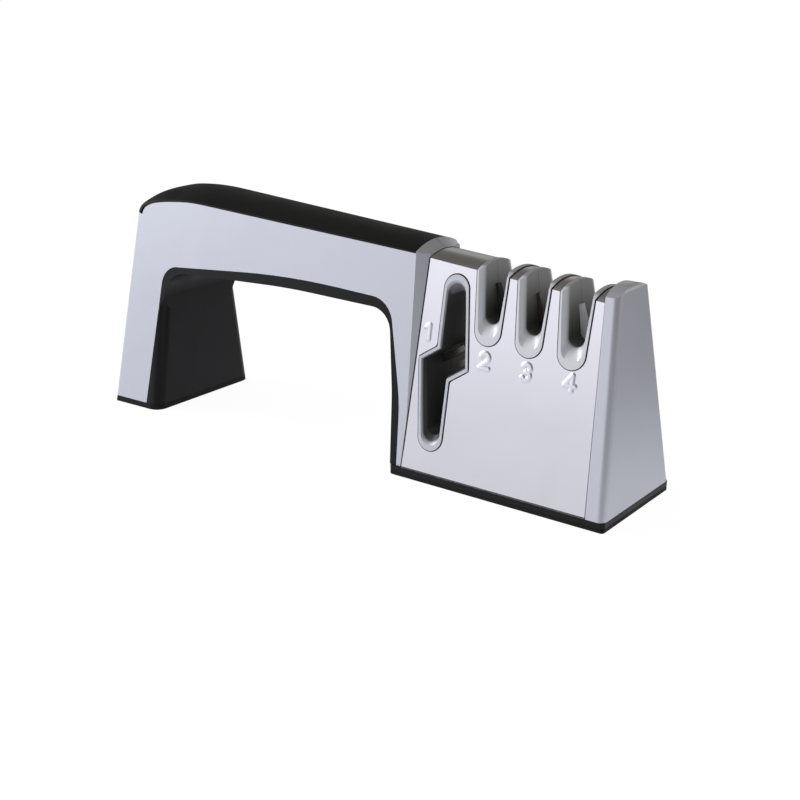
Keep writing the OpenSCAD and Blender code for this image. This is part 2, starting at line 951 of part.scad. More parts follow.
// A half of the block's core on one side of the centre plane, with its flared mouths and plate pockets
module insert_half(side) {
  difference() {
    union() {
      difference() {
        block_core();
        mirror([0, side > 0 ? 1 : 0, 0])
          front_mouths();
      }
      intersection() {
        block_solid(wall_gap, gap, gap);
        for (turn = [0, 180])
          flat_step(turn);
      }
    }
    for (turn = [0, 180])
      flat_pocket(turn);
    for (i = [0:2])
      plate_pocket(i, side);
    at_insert_screws() {
      cylinder(h = head_h + insert_screw_l, d = screw_d);
      translate([0, 0, -big])
        cylinder(h = big + head_h, d = head_d + 0.4);
    }
    translate([-big / 2, side < 0 ? -gap / 2 : -big + gap / 2, -big / 2])
      cube(big);
  }
}

module scissors_zone() {
  across()
    polygon([[x_col, 0], [x_col, handle_h], [split_x(handle_h) - gap, handle_h],
      [split_low - gap, stage_z], [split_foot - gap, stage_z], [split_foot - gap, 0]]);
}

module knife_zone() {
  across()
    polygon([[split_x(handle_h), handle_h], [x_end, handle_h], [x_end, stage_z + gap],
      [split_x(stage_z + gap), stage_z + gap]]);
}

module scissors_insert_front() {
  color(grey) {
    intersection() {
      insert_half(-1);
      scissors_zone();
    }
    at_pins()
      translate([0, 0, -gap - 1])
        cylinder(h = gap + 1 + pin_l, d = pin_d);
  }
}

module scissors_insert_rear() {
  color(grey)
    difference() {
      intersection() {
        insert_half(1);
        scissors_zone();
      }
      at_pins()
        translate([0, 0, -1])
          cylinder(h = pin_l + 1.3, d = pin_d + 0.2);
    }
}

module knife_insert_front() {
  color(grey)
    intersection() {
      insert_half(-1);
      knife_zone();
    }
}

module knife_insert_rear() {
  color(grey)
    intersection() {
      insert_half(1);
      knife_zone();
    }
}

// The frame under the knife inserts: four walls, a plate on top, and bosses for the base screws
module inner_frame() {
  color(black)
    difference() {
      intersection() {
        union() {
          difference() {
            block_solid(wall_gap, gap, gap);
            intersection() {
              block_solid(wall_gap + insert_t, gap, gap + insert_t, -1);
              translate([split_foot + insert_t, -big / 2, stage_z - insert_t - big])
                cube(big);
            }
          }
          intersection() {
            block_solid(wall_gap + insert_t / 2, gap, gap);
            at_base_screws()
              translate([0, 0, base_h - pad_t + tray_boss_h + gap])
                cylinder(h = handle_h, d = boss_d);
          }
        }
        translate([split_foot, -big / 2, stage_z - big])
          cube(big);
      }
      at_base_screws()
        cylinder(h = base_h - pad_t + tray_boss_h + gap, d = tray_boss_d + 1);
      at_base_screws()
        cylinder(h = head_h + base_screw_l, d = screw_d);
      cap_peg_holes();
    }
}

// The end cap, with pegs that fit the inserts' right wall
cap_r = 17.6;
cap_edge_r = 2.2;
low_peg = [6.5, 13];
high_peg = [5, 45];
peg_places = [low_peg + [0, base_h], high_peg + [0, base_h]];
cap_peg_d = 3;
cap_peg_l = 4.5;
module at_cap_pegs() {
  for (p = peg_places, s = [-1, 1])
    translate([cap_line_x(p[1]), s * p[0], p[1]])
      rotate([0, -90, 0])
        children();
}

module cap_peg_holes() {
  at_cap_pegs()
    translate([0, 0, -2])
      cylinder(h = 2 + cap_peg_l + 0.3, d = cap_peg_d + 0.2);
}

cap_open = 4;
function cap_corner(z) = [-end_x(z), -cap_half_at(z), z];
module cap_solid(inset = 0, left = 0) {
  intersection() {
    difference() {
      across()
        polygon(concat([[cap_line_x(base_h) - left, base_h - left], [cap_line_x(cap_h) - left, cap_h + 1]],
          corner([cap_line_x(cap_h), cap_h], [end_x(cap_h) - inset, cap_h - inset],
            [end_x(base_h) - inset, base_h], cap_edge_r - inset / 2),
          [[end_x(base_h) - inset, base_h - left]]));
      for (s = [-1, 1])
        everything_beyond([0, s * (cap_half - inset * 1.02), base_h], [0, s, cap_k]);
    }
    crown([x_end, cap_h], 0, cap_r, inset);
  }
}

module end_cap() {
  color(silver) {
    difference() {
      cap_solid();
      cap_solid(cap_t, cap_open);
      for (s = [0, 1])
        mirror([0, s, 0])
          mirror([1, 0, 0])
            round_edge(cap_corner(base_h - 1), cap_corner(cap_h), cap_edge_r);
    }
    difference() {
      at_cap_pegs()
        translate([0, 0, -big / 100])
          cylinder(h = big / 100 + cap_peg_l, d = cap_peg_d);
      everything_beyond([end_x(base_h) - cap_t / 2, 0, base_h], [1, 0, end_k]);
    }
  }
}

front_shell();
rear_shell();
top_grip();
grip_carrier();
arch_frame();
leg_base();
foot_pad();
leg_screws();
base_tray();
base_pad();
base_screws();
inner_frame();
steel_cover();
scissors_insert_front();
scissors_insert_rear();
knife_insert_front();
knife_insert_rear();
insert_screws();
collar_screws();
end_cap();
diamond_plate_left();
diamond_plate_right();
carbide_plate_left();
carbide_plate_right();
ceramic_plate_left();
ceramic_plate_right();
scissor_plate_upper();
scissor_plate_lower();
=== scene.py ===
# %% [markdown]
# # A knife sharpener with an arched handle
#
# The sharpener is a steel-faced block with four slots, joined to a handle that arches over to a leg. The
# imported CAD model gives every piece its place and size in metres, so we load it first. Whatever is
# modelled here has to stay inside that box.

# %% Load the frame
import json
import math

import bmesh
import bpy
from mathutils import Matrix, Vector


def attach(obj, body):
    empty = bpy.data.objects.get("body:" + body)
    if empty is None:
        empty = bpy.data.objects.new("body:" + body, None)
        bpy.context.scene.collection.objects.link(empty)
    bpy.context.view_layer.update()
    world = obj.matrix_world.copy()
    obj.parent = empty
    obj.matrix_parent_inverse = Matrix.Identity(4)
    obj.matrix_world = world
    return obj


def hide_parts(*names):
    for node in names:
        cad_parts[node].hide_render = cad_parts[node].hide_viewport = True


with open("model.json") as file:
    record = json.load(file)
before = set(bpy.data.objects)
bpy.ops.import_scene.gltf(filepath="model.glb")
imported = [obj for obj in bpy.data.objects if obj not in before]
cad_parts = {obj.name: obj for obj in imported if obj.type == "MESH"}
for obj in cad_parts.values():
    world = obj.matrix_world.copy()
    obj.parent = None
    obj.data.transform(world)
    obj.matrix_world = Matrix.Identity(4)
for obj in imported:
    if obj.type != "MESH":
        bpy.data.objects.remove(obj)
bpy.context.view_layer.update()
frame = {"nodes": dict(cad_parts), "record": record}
scene = bpy.context.scene
MM = 0.001

# %% [markdown]
# ## A few helpers
#
# Shaders and Geometry Nodes are trees of nodes joined by links, and a mesh shows only once it is an object
# in the scene. We could write those lines out each time, but they come back in every step, so each gets a
# short function with a plain name.


# %% Helpers for nodes and objects
def add(tree, kind, **settings):
    """A new node in the tree, with its settings."""
    node = tree.nodes.new(kind)
    for key, value in settings.items():
        setattr(node, key, value)
    return node


def join(tree, *pairs):
    """Links from the first socket of each pair to the second."""
    for start, end in pairs:
        tree.links.new(start, end)


def smooth_step(tree, start, stop, low=0.0, high=1.0):
    """A node that goes smoothly from low at start to high at stop."""
    node = add(tree, "ShaderNodeMapRange", interpolation_type="SMOOTHSTEP")
    node.inputs["From Min"].default_value = start
    node.inputs["From Max"].default_value = stop
    node.inputs["To Min"].default_value = low
    node.inputs["To Max"].default_value = high
    return node


def along_direction(tree, direction):
    """A node whose value says how far its vector runs along the direction."""
    node = add(tree, "ShaderNodeVectorMath", operation="DOT_PRODUCT")
    node.inputs[1].default_value = direction
    return node


def put_in_scene(name, data):
    obj = bpy.data.objects.new(name, data)
    scene.collection.objects.link(obj)
    return obj


def object_from(bm, name):
    """An object with the bmesh's faces. The bmesh is freed."""
    mesh = bpy.data.meshes.new(name)
    bm.to_mesh(mesh)
    bm.free()
    return put_in_scene(name, mesh)


print("helpers ready")

# %% [markdown]
# ## The camera
#
# The photograph looks down on the front and the block's end. Its viewing angle was solved from the base's
# edges, the slots and the handle: 37 degrees round from the front and 19 degrees above the horizon. A 58.5
# mm lens on the usual 36 mm sensor gives its perspective in a square frame.

# %% Camera
VIEW_TURN = math.radians(36.96)
VIEW_RISE = math.radians(19.11)
camera = put_in_scene("camera", bpy.data.cameras.new("camera"))
camera.data.lens = 58.5
camera.data.sensor_width = 36
camera.data.clip_start = 0.02
camera.data.clip_end = 60
camera.location = (0.2671, -0.3374, 0.1636)
camera.rotation_euler = (math.pi / 2 - VIEW_RISE, 0, VIEW_TURN)
scene.camera = camera
print("camera at", [round(v, 3) for v in camera.location])

# %% [markdown]
# ## The surroundings
#
# Polished steel shows what stands round it, so the surroundings matter more than the lamp. They could be a
# room of boards and cards, but a world of a few plain tones does the same and is easier to steer. One ramp
# runs round the horizon, from the back right to the front left, where the studio is bright. Another runs up
# to a dark ceiling. That gives the steel its bright face and its dark crown.

# %% The tones round the object
FRONT_LEFT = (-0.6, -0.8, 0)
CEILING_FROM, CEILING_TO = 0.14, 0.36
HORIZON = [(0.0, (0.60, 0.60, 0.61)), (0.16, (0.54, 0.535, 0.53)), (0.30, (0.27, 0.265, 0.26)),
           (0.50, (0.21, 0.205, 0.20)), (0.60, (0.13, 0.13, 0.13)), (0.68, (0.15, 0.15, 0.155)),
           (0.78, (0.60, 0.61, 0.66)), (0.88, (0.96, 0.97, 1.05)), (1.0, (0.98, 0.99, 1.07))]
CEILING = [(0.0, (0.38, 0.37, 0.36)), (0.34, (0.31, 0.30, 0.29)), (0.50, (0.12, 0.11, 0.10)),
           (0.75, (0.10, 0.092, 0.085)), (1.0, (0.30, 0.29, 0.28))]


def colour_ramp(tree, stops):
    node = add(tree, "ShaderNodeValToRGB")
    elements = node.color_ramp.elements
    while len(elements) < len(stops):
        elements.new(0.5)
    for element, (place, colour) in zip(elements, stops):
        element.position = place
        element.color = (*colour, 1)
    return node


def studio_tones(tree, direction, height):
    """The studio's colour in each direction: the horizon's ramp, and above it the ceiling's."""
    level = add(tree, "ShaderNodeVectorMath", operation="MULTIPLY")
    level.inputs[1].default_value = (1, 1, 0)
    heading = add(tree, "ShaderNodeVectorMath", operation="NORMALIZE")
    facing = along_direction(tree, FRONT_LEFT)
    around = add(tree, "ShaderNodeMapRange")
    around.inputs["From Min"].default_value = -1
    horizon = colour_ramp(tree, HORIZON)
    ceiling = colour_ramp(tree, CEILING)
    climb = smooth_step(tree, CEILING_FROM, CEILING_TO)
    tones = add(tree, "ShaderNodeMix", data_type="RGBA")
    join(tree, (direction, level.inputs[0]), (level.outputs[0], heading.inputs[0]),
         (heading.outputs[0], facing.inputs[0]), (facing.outputs["Value"], around.inputs["Value"]),
         (around.outputs["Result"], horizon.inputs["Fac"]), (height, ceiling.inputs["Fac"]),
         (height, climb.inputs["Value"]), (climb.outputs["Result"], tones.inputs["Factor"]),
         (horizon.outputs["Color"], tones.inputs["A"]), (ceiling.outputs["Color"], tones.inputs["B"]))
    return tones.outputs["Result"]


print("tones:", len(HORIZON), "round the horizon,", len(CEILING), "up to the ceiling")

# %% [markdown]
# ## The dark card, and what each ray sees
#
# A product photographer hangs a dark card round the lens, so that faces turned to the camera stay deep. A
# smooth step round that direction does it here. The tones are used in two ways: mirrored rays see them at
# full contrast, and all other light is softened by a grey fill, so that plastic isn't as harsh as steel.
# The Light Path node tells the rays apart, and it lets the camera alone see plain white behind the object.

# %% World
CARD_SIDE = (0.57, -0.755, 0.327)
CARD_FROM, CARD_TO, CARD_DARK = 0.5, 0.88, 0.10
GROUND_FROM, GROUND_TO, SKY_GAIN = -0.02, 0.14, 1.35
SOFT_SHARE, SOFT_BASE = 0.65, 0.53
FILL, FILL_COLOUR = 0.42, (0.72, 0.72, 0.725, 1)


def glossy_or_through(tree, path):
    """One for rays that were mirrored or came through, and nought for the others."""
    either = add(tree, "ShaderNodeMath", operation="MAXIMUM")
    join(tree, (path.outputs["Is Glossy Ray"], either.inputs[0]),
         (path.outputs["Is Transmission Ray"], either.inputs[1]))
    return either.outputs[0]


def studio_world():
    world = bpy.data.worlds.new("studio")
    world.use_nodes = True
    tree = world.node_tree
    tree.nodes.clear()
    out = add(tree, "ShaderNodeOutputWorld")
    path = add(tree, "ShaderNodeLightPath")
    coords = add(tree, "ShaderNodeTexCoord")
    split = add(tree, "ShaderNodeSeparateXYZ")
    direction, height = coords.outputs["Generated"], split.outputs["Z"]
    join(tree, (direction, split.inputs[0]))
    tones = studio_tones(tree, direction, height)
    towards = along_direction(tree, CARD_SIDE)
    card = smooth_step(tree, CARD_FROM, CARD_TO, 1.0, CARD_DARK)
    gain = smooth_step(tree, GROUND_FROM, GROUND_TO, 1.0, SKY_GAIN)
    held = add(tree, "ShaderNodeMath", operation="MULTIPLY")
    softer = add(tree, "ShaderNodeMath", operation="MULTIPLY_ADD")
    softer.inputs[1].default_value = SOFT_SHARE
    softer.inputs[2].default_value = SOFT_BASE
    fill = add(tree, "ShaderNodeMix", data_type="RGBA")
    fill.inputs["Factor"].default_value = FILL
    fill.inputs["B"].default_value = FILL_COLOUR
    lighting = add(tree, "ShaderNodeBackground")
    mirrored = add(tree, "ShaderNodeBackground")
    seen = add(tree, "ShaderNodeBackground")
    seen.inputs["Color"].default_value = (1, 1, 1, 1)
    pick = add(tree, "ShaderNodeMixShader")
    show = add(tree, "ShaderNodeMixShader")
    join(tree, (direction, towards.inputs[0]), (towards.outputs["Value"], card.inputs["Value"]),
         (height, gain.inputs["Value"]), (gain.outputs["Result"], held.inputs[0]),
         (card.outputs["Result"], held.inputs[1]), (card.outputs["Result"], softer.inputs[0]),
         (held.outputs[0], mirrored.inputs["Strength"]), (softer.outputs[0], lighting.inputs["Strength"]),
         (tones, mirrored.inputs["Color"]), (tones, fill.inputs["A"]),
         (fill.outputs["Result"], lighting.inputs["Color"]))
    join(tree, (glossy_or_through(tree, path), pick.inputs["Fac"]), (lighting.outputs[0], pick.inputs[1]),
         (mirrored.outputs[0], pick.inputs[2]), (path.outputs["Is Camera Ray"], show.inputs["Fac"]),
         (pick.outputs[0], show.inputs[1]), (seen.outputs[0], show.inputs[2]),
         (show.outputs[0], out.inputs["Surface"]))
    print("world:", len(tree.nodes), "nodes")
    return world


scene.world = studio_world()

# %% [markdown]
# ## The lamp
#
# The surroundings give most of the light. One softbox at the leg's side adds a clear direction, so that the
# leaning faces differ from each other. A sun would be simpler, but its shadows are too hard for a studio.

# %% Softbox
LAMP_PLACE, LAMP_TARGET = Vector((-1.75, -0.65, 0.75)), Vector((0.0, 0.0, 0.04))
lamp = bpy.data.lights.new("key", "AREA")
lamp.shape = "RECTANGLE"
lamp.size, lamp.size_y = 1.0, 0.9
lamp.energy = 22
lamp.color = (0.95, 0.97, 1.06)
softbox = put_in_scene("key", lamp)
softbox.location = LAMP_PLACE
softbox.rotation_euler = (LAMP_TARGET - LAMP_PLACE).to_track_quat("-Z", "Y").to_euler()
print("softbox:", lamp.energy, "W")

# %% [markdown]
# ## The floor
#
# The sharpener stands on plain white paper. A matt floor alone would turn grey, so part of it glows: for
# the camera that makes it read as white and still take the sharpener's shadow. Mirrored rays see the glow
# too, but there it is painted darker towards the back right, a painted shade on the paper, so that steel and
# plastic mirror a darker ground on that side. All other rays see plain matt paper.

# %% Floor
FLOOR_HALF = 14.0
PAPER_COLOUR, MIRRORED_COLOUR = (0.80, 0.80, 0.84, 1), (0.96, 0.97, 1.04, 1)
BACK_RIGHT = (0.6, 0.8, 0)
# Painted shade on the paper: the glow that mirrored rays see grows darker towards the back right.
PAPER_SHADE_FROM, PAPER_SHADE_TO, PAPER_SHADE_NEAR, PAPER_SHADE_FAR = 0.07, 0.28, 0.92, 0.30
SEEN_GLOW, GLOW_SHARE = 1.11, 0.86


def white_paper():
    paper = bpy.data.materials.new("white_paper")
    paper.use_nodes = True
    tree = paper.node_tree
    tree.nodes.clear()
    out = add(tree, "ShaderNodeOutputMaterial")
    path = add(tree, "ShaderNodeLightPath")
    place = add(tree, "ShaderNodeTexCoord")
    matt = add(tree, "ShaderNodeBsdfDiffuse")
    matt.inputs["Color"].default_value = PAPER_COLOUR
    glow = add(tree, "ShaderNodeEmission")
    away = along_direction(tree, BACK_RIGHT)
    painted_shade = smooth_step(tree, PAPER_SHADE_FROM, PAPER_SHADE_TO, PAPER_SHADE_NEAR, PAPER_SHADE_FAR)
    tone = add(tree, "ShaderNodeMix", data_type="RGBA")
    tone.inputs["A"].default_value = MIRRORED_COLOUR
    tone.inputs["B"].default_value = (1, 1, 1, 1)
    strength = add(tree, "ShaderNodeMix", data_type="FLOAT")
    strength.inputs["B"].default_value = SEEN_GLOW
    glowing = add(tree, "ShaderNodeMath", operation="MAXIMUM")
    share = add(tree, "ShaderNodeMath", operation="MULTIPLY")
    share.inputs[1].default_value = GLOW_SHARE
    mix = add(tree, "ShaderNodeMixShader")
    seen = path.outputs["Is Camera Ray"]
    join(tree, (seen, glowing.inputs[0]), (glossy_or_through(tree, path), glowing.inputs[1]),
         (glowing.outputs[0], share.inputs[0]), (share.outputs[0], mix.inputs["Fac"]),
         (place.outputs["Object"], away.inputs[0]), (away.outputs["Value"], painted_shade.inputs["Value"]),
         (seen, strength.inputs["Factor"]), (painted_shade.outputs["Result"], strength.inputs["A"]),
         (strength.outputs["Result"], glow.inputs["Strength"]), (seen, tone.inputs["Factor"]),
         (tone.outputs["Result"], glow.inputs["Color"]), (matt.outputs[0], mix.inputs[1]),
         (glow.outputs[0], mix.inputs[2]), (mix.outputs[0], out.inputs["Surface"]))
    return paper


floor_mesh = bpy.data.meshes.new("floor")
floor_mesh.from_pydata([(-FLOOR_HALF, -FLOOR_HALF, 0), (FLOOR_HALF, -FLOOR_HALF, 0),
                        (FLOOR_HALF, FLOOR_HALF, 0), (-FLOOR_HALF, FLOOR_HALF, 0)], [], [(0, 1, 2, 3)])
floor_mesh.materials.append(white_paper())
floor = put_in_scene("floor", floor_mesh)
print("floor:", 2 * FLOOR_HALF, "m wide")

# %% [markdown]
# ## Two effects that the finishes share
#
# Moulded plastic has a fine grain from its tool, and everything that is handled has faint smudges that
# change how it shines. Both are built once as node groups with named inputs, and every finish places them
# with its own values. They read Object coordinates, which are the same metres on every piece, because none
# is moved or scaled.


# %% Node groups
def node_group(name, inputs, outputs):
    group = bpy.data.node_groups.new(name, "ShaderNodeTree")
    for label, value in inputs:
        socket = group.interface.new_socket(name=label, in_out="INPUT", socket_type="NodeSocketFloat")
        socket.default_value = value
    for label in outputs:
        group.interface.new_socket(name=label, in_out="OUTPUT", socket_type="NodeSocketFloat")
    return group, group.nodes.new("NodeGroupInput"), group.nodes.new("NodeGroupOutput")


def grain_group():
    group, start, end = node_group("tool_grain", [("Scale", 3000.0), ("Roundness", 0.5)], ["Height"])
    coords = add(group, "ShaderNodeTexCoord")
    noise = add(group, "ShaderNodeTexNoise")
    noise.inputs["Detail"].default_value = 3
    join(group, (coords.outputs["Object"], noise.inputs["Vector"]),
         (start.outputs["Scale"], noise.inputs["Scale"]),
         (start.outputs["Roundness"], noise.inputs["Roughness"]),
         (noise.outputs["Fac"], end.inputs["Height"]))
    return group


def smudge_group():
    group, start, end = node_group("smudges", [("Scale", 60.0), ("Low", 0.3), ("High", 0.4)],
                                   ["Roughness", "Mask"])
    coords = add(group, "ShaderNodeTexCoord")
    noise = add(group, "ShaderNodeTexNoise")
    noise.inputs["Detail"].default_value = 4
    noise.inputs["Distortion"].default_value = 0.6
    spread = add(group, "ShaderNodeMapRange")
    spread.inputs["From Min"].default_value = 0.32
    spread.inputs["From Max"].default_value = 0.68
    join(group, (coords.outputs["Object"], noise.inputs["Vector"]),
         (start.outputs["Scale"], noise.inputs["Scale"]), (noise.outputs["Fac"], spread.inputs["Value"]),
         (start.outputs["Low"], spread.inputs["To Min"]), (start.outputs["High"], spread.inputs["To Max"]),
         (spread.outputs["Result"], end.inputs["Roughness"]), (noise.outputs["Fac"], end.inputs["Mask"]))
    return group


grain, smudge = grain_group(), smudge_group()
print("groups:", grain.name, smudge.name)

# %% [markdown]
# ## The finishes
#
# The shells and the end cap are silvery plastic, the grip and all dark pieces are black plastic or rubber,
# and the block wears polished sheet steel. A flat colour would look like a toy, so one function builds
# every finish in the same way: two near colours mixed by the smudges, a range of roughness, and the grain
# as a bump. Only the values differ, so they stand in a table that is easy to compare.


# %% Helper: a finish
def finish(name, colour, tint, rough, grain_scale, grain_depth, metallic=0.0, specular=0.5,
           smudge_scale=60.0):
    """A Principled finish. The grain's depth is in millimetres."""
    mat = bpy.data.materials.new(name)
    mat.use_nodes = True
    tree = mat.node_tree
    shader = tree.nodes["Principled BSDF"]
    shader.inputs["Metallic"].default_value = metallic
    shader.inputs["Specular IOR Level"].default_value = specular
    marks = add(tree, "ShaderNodeGroup", node_tree=smudge)
    marks.inputs["Scale"].default_value = smudge_scale
    marks.inputs["Low"].default_value, marks.inputs["High"].default_value = rough
    fine = add(tree, "ShaderNodeGroup", node_tree=grain)
    fine.inputs["Scale"].default_value = grain_scale
    blend = add(tree, "ShaderNodeMix", data_type="RGBA")
    blend.inputs["A"].default_value = (*colour, 1)
    blend.inputs["B"].default_value = (*tint, 1)
    bump = add(tree, "ShaderNodeBump")
    bump.inputs["Strength"].default_value = 1.0
    bump.inputs["Distance"].default_value = grain_depth * MM
    join(tree, (marks.outputs["Mask"], blend.inputs["Factor"]),
         (blend.outputs["Result"], shader.inputs["Base Color"]),
         (marks.outputs["Roughness"], shader.inputs["Roughness"]),
         (fine.outputs["Height"], bump.inputs["Height"]), (bump.outputs["Normal"], shader.inputs["Normal"]))
    return mat


# %% Finishes
BLACK = dict(colour=(0.007, 0.007, 0.007), tint=(0.011, 0.011, 0.010))
FINISHES = {
    "silver_plastic": dict(colour=(0.64, 0.655, 0.70), tint=(0.68, 0.695, 0.74), rough=(0.34, 0.42),
                           grain_scale=2600, grain_depth=0.010, metallic=0.62),
    "black_plastic": dict(**BLACK, rough=(0.34, 0.46), grain_scale=2200, grain_depth=0.02, specular=0.2),
    "soft_grip": dict(**BLACK, rough=(0.46, 0.58), grain_scale=3200, grain_depth=0.02, specular=0.17),
    "black_rubber": dict(**BLACK, rough=(0.5, 0.65), grain_scale=1800, grain_depth=0.03, specular=0.18),
    "grey_plastic": dict(colour=(0.84, 0.85, 0.88), tint=(0.88, 0.89, 0.91), rough=(0.36, 0.46),
                         grain_scale=2400, grain_depth=0.010, metallic=0.15),
    "scissors_liner": dict(colour=(0.70, 0.71, 0.75), tint=(0.75, 0.76, 0.80), rough=(0.36, 0.46),
                           grain_scale=2400, grain_depth=0.010, metallic=0.15),
    "rim_plastic": dict(colour=(0.70, 0.71, 0.75), tint=(0.76, 0.77, 0.81), rough=(0.30, 0.40),
                        grain_scale=2400, grain_depth=0.008, metallic=0.3),
    "polished_steel": dict(colour=(0.69, 0.68, 0.705), tint=(0.73, 0.72, 0.745), rough=(0.17, 0.23),
                           grain_scale=900, grain_depth=0.0012, metallic=1.0, smudge_scale=45),
    # The numbers' steel: rougher than the sheet, and lighter in colour as a painted highlight.
    "pressed_steel_painted_highlight": dict(colour=(0.80, 0.80, 0.85), tint=(0.84, 0.84, 0.89), rough=(0.34, 0.42),
                          grain_scale=900, grain_depth=0.001, metallic=0.8, smudge_scale=45),
    "screw_steel": dict(colour=(0.60, 0.61, 0.63), tint=(0.66, 0.66, 0.67), rough=(0.28, 0.4),
                        grain_scale=1500, grain_depth=0.01, metallic=1.0),
    "diamond_plate": dict(colour=(0.035, 0.035, 0.038), tint=(0.08, 0.08, 0.085), rough=(0.45, 0.6),
                          grain_scale=5200, grain_depth=0.07, metallic=0.6),
    "carbide_plate": dict(colour=(0.15, 0.13, 0.11), tint=(0.20, 0.18, 0.15), rough=(0.22, 0.34),
                          grain_scale=2600, grain_depth=0.01, metallic=1.0),
    "white_ceramic": dict(colour=(0.88, 0.88, 0.90), tint=(0.92, 0.92, 0.93), rough=(0.35, 0.45),
                          grain_scale=3000, grain_depth=0.015),
}
finishes = {name: finish(name, **values) for name, values in FINISHES.items()}
print("finishes:", len(finishes))

# %% [markdown]
# ## Painted shade inside the slot liners
#
# The liners' mouths are the same pale silver-grey as the shells, but a few millimetres in, the slots look
# nearly black. Lighting alone leaves them too bright, so shade is painted into the finish. A mask measures
# how far a point lies behind the leaning front and rear faces, and a second one how far it lies below the
# crown. Together they blend the pale lip into a painted mid-grey shade near the top and a painted near-black
# shade lower down. Low in the knife slots, where the floor faces up to the light, the painted shade starts
# further in.

# %% The block's lines, in millimetres
BLOCK_HALF, BASE_H = 21.5, 3.4
FACE_LEAN = math.radians(10.9)
FACE_K = math.tan(FACE_LEAN)
FACE_AT = BLOCK_HALF + FACE_K * BASE_H
CROWN_R, CROWN_H, CROWN_X = 22.0, 72.9, 31.5
CROWN_K = math.tan(math.radians(3.75))
print("the front face leans", round(math.degrees(FACE_LEAN), 1), "degrees")

# %% Helper: a pale finish with painted shade inside
# Painted shade inside the slots: grey near the crown, black lower down, between these heights below the
# crown.
BLACK_SHADE_FROM, BLACK_SHADE_TO = 74.6, 58.5
SHADE_GREY, SHADE_BLACK = (0.37, 0.375, 0.36, 1), (0.085, 0.085, 0.08, 1)


def slope_sum(tree, run, factor, rise):
    """The rise plus the factor times the run, which stays the same all along a slope."""
    node = add(tree, "ShaderNodeMath", operation="MULTIPLY_ADD")
    node.inputs[1].default_value = factor
    join(tree, (run, node.inputs[0]), (rise, node.inputs[2]))
    return node.outputs[0]


def shade_mask(tree, leaning, start, stop):
    """The share of painted shade: nought up to the first depth behind the block's face, and one from the
    second depth on.
    """
    mask = smooth_step(tree, (FACE_AT - start) * MM, (FACE_AT - stop) * MM)
    join(tree, (leaning, mask.inputs["Value"]))
    return mask.outputs["Result"]


def paint_slot_shade(mat, narrow, wide, wide_below=(0.0, 1.0)):
    """Paint shade into the finish behind the block's faces: over the wide depths low down, the narrow ones
    above.
    """
    tree = mat.node_tree
    shader = tree.nodes["Principled BSDF"]
    pale = shader.inputs["Base Color"].links[0].from_socket
    coords = add(tree, "ShaderNodeTexCoord")
    split = add(tree, "ShaderNodeSeparateXYZ")
    across = add(tree, "ShaderNodeMath", operation="ABSOLUTE")
    join(tree, (coords.outputs["Object"], split.inputs[0]), (split.outputs["Y"], across.inputs[0]))
    leaning = slope_sum(tree, split.outputs["Z"], FACE_K, across.outputs[0])
    falling = slope_sum(tree, split.outputs["X"], CROWN_K, split.outputs["Z"])
    deep = smooth_step(tree, BLACK_SHADE_FROM * MM, BLACK_SHADE_TO * MM)
    inner = add(tree, "ShaderNodeMix", data_type="RGBA")
    inner.inputs["A"].default_value = SHADE_GREY
    inner.inputs["B"].default_value = SHADE_BLACK
    high = smooth_step(tree, wide_below[0] * MM, wide_below[1] * MM)
    depth = add(tree, "ShaderNodeMix", data_type="FLOAT")
    whole = add(tree, "ShaderNodeMix", data_type="RGBA")
    join(tree, (falling, deep.inputs["Value"]), (falling, high.inputs["Value"]),
         (high.outputs["Result"], depth.inputs["Factor"]),
         (shade_mask(tree, leaning, *wide), depth.inputs["A"]),
         (shade_mask(tree, leaning, *narrow), depth.inputs["B"]),
         (deep.outputs["Result"], inner.inputs["Factor"]), (depth.outputs["Result"], whole.inputs["Factor"]),
         (pale, whole.inputs["A"]), (inner.outputs["Result"], whole.inputs["B"]),
         (whole.outputs["Result"], shader.inputs["Base Color"]))
    print(mat.name, "liner:", len(tree.nodes), "nodes")


# %% Liner finishes, with painted shade inside the slots
# Painted shade in both liners; low in the knife slots it starts further in, where the floor faces up to the
# light.
paint_slot_shade(finishes["grey_plastic"], narrow=(0.7, 3.0), wide=(1.4, 4.6), wide_below=(54.5, 59.0))
paint_slot_shade(finishes["scissors_liner"], narrow=(0.0, 0.75), wide=(0.0, 0.75))

# %% [markdown]
# ## Pieces with eased edges
#
# No moulded or pressed piece has a knife-sharp edge: each catches a thin line of light. The CAD meshes are
# loose triangles with sharp edges, so each visible piece is a merged copy, with a Bevel that only finds the
# true edges. Weighted normals keep its flat faces flat. A bump in the shader could fake the edge, but it
# would not show on the outline. The copy then shows in its CAD node's place, and the node is hidden.

# %% Helpers: dress, bake and ease
NODE_SLOT = {part["node"]: part["material_slot"] for part in frame["record"]["subparts"]}


def dress(obj, slot, material=None):
    """Give the piece its finish, from its slot unless another finish is named, and let it ride on the
    sharpener's one body.
    """
    obj.data.materials.clear()
    obj.data.materials.append(finishes[material or slot])
    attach(obj, "root")


def baked(obj):
    """The object's evaluated mesh as a plain object with no modifiers."""
    name = obj.name
    bpy.context.view_layer.update()
    deps = bpy.context.evaluated_depsgraph_get()
    mesh = bpy.data.meshes.new_from_object(obj.evaluated_get(deps))
    mesh.name = name
    bpy.data.objects.remove(obj)
    return put_in_scene(name, mesh)


def level_normals(obj, sharp=38.0):
    """Normals that follow the largest faces, so that flat faces stay flat between their eased edges."""
    obj.data.set_sharp_from_angle(angle=math.radians(sharp))
    weighted = obj.modifiers.new("weighted", "WEIGHTED_NORMAL")
    weighted.mode = "FACE_AREA"
    weighted.weight = 100
    weighted.keep_sharp = True
    return baked(obj)


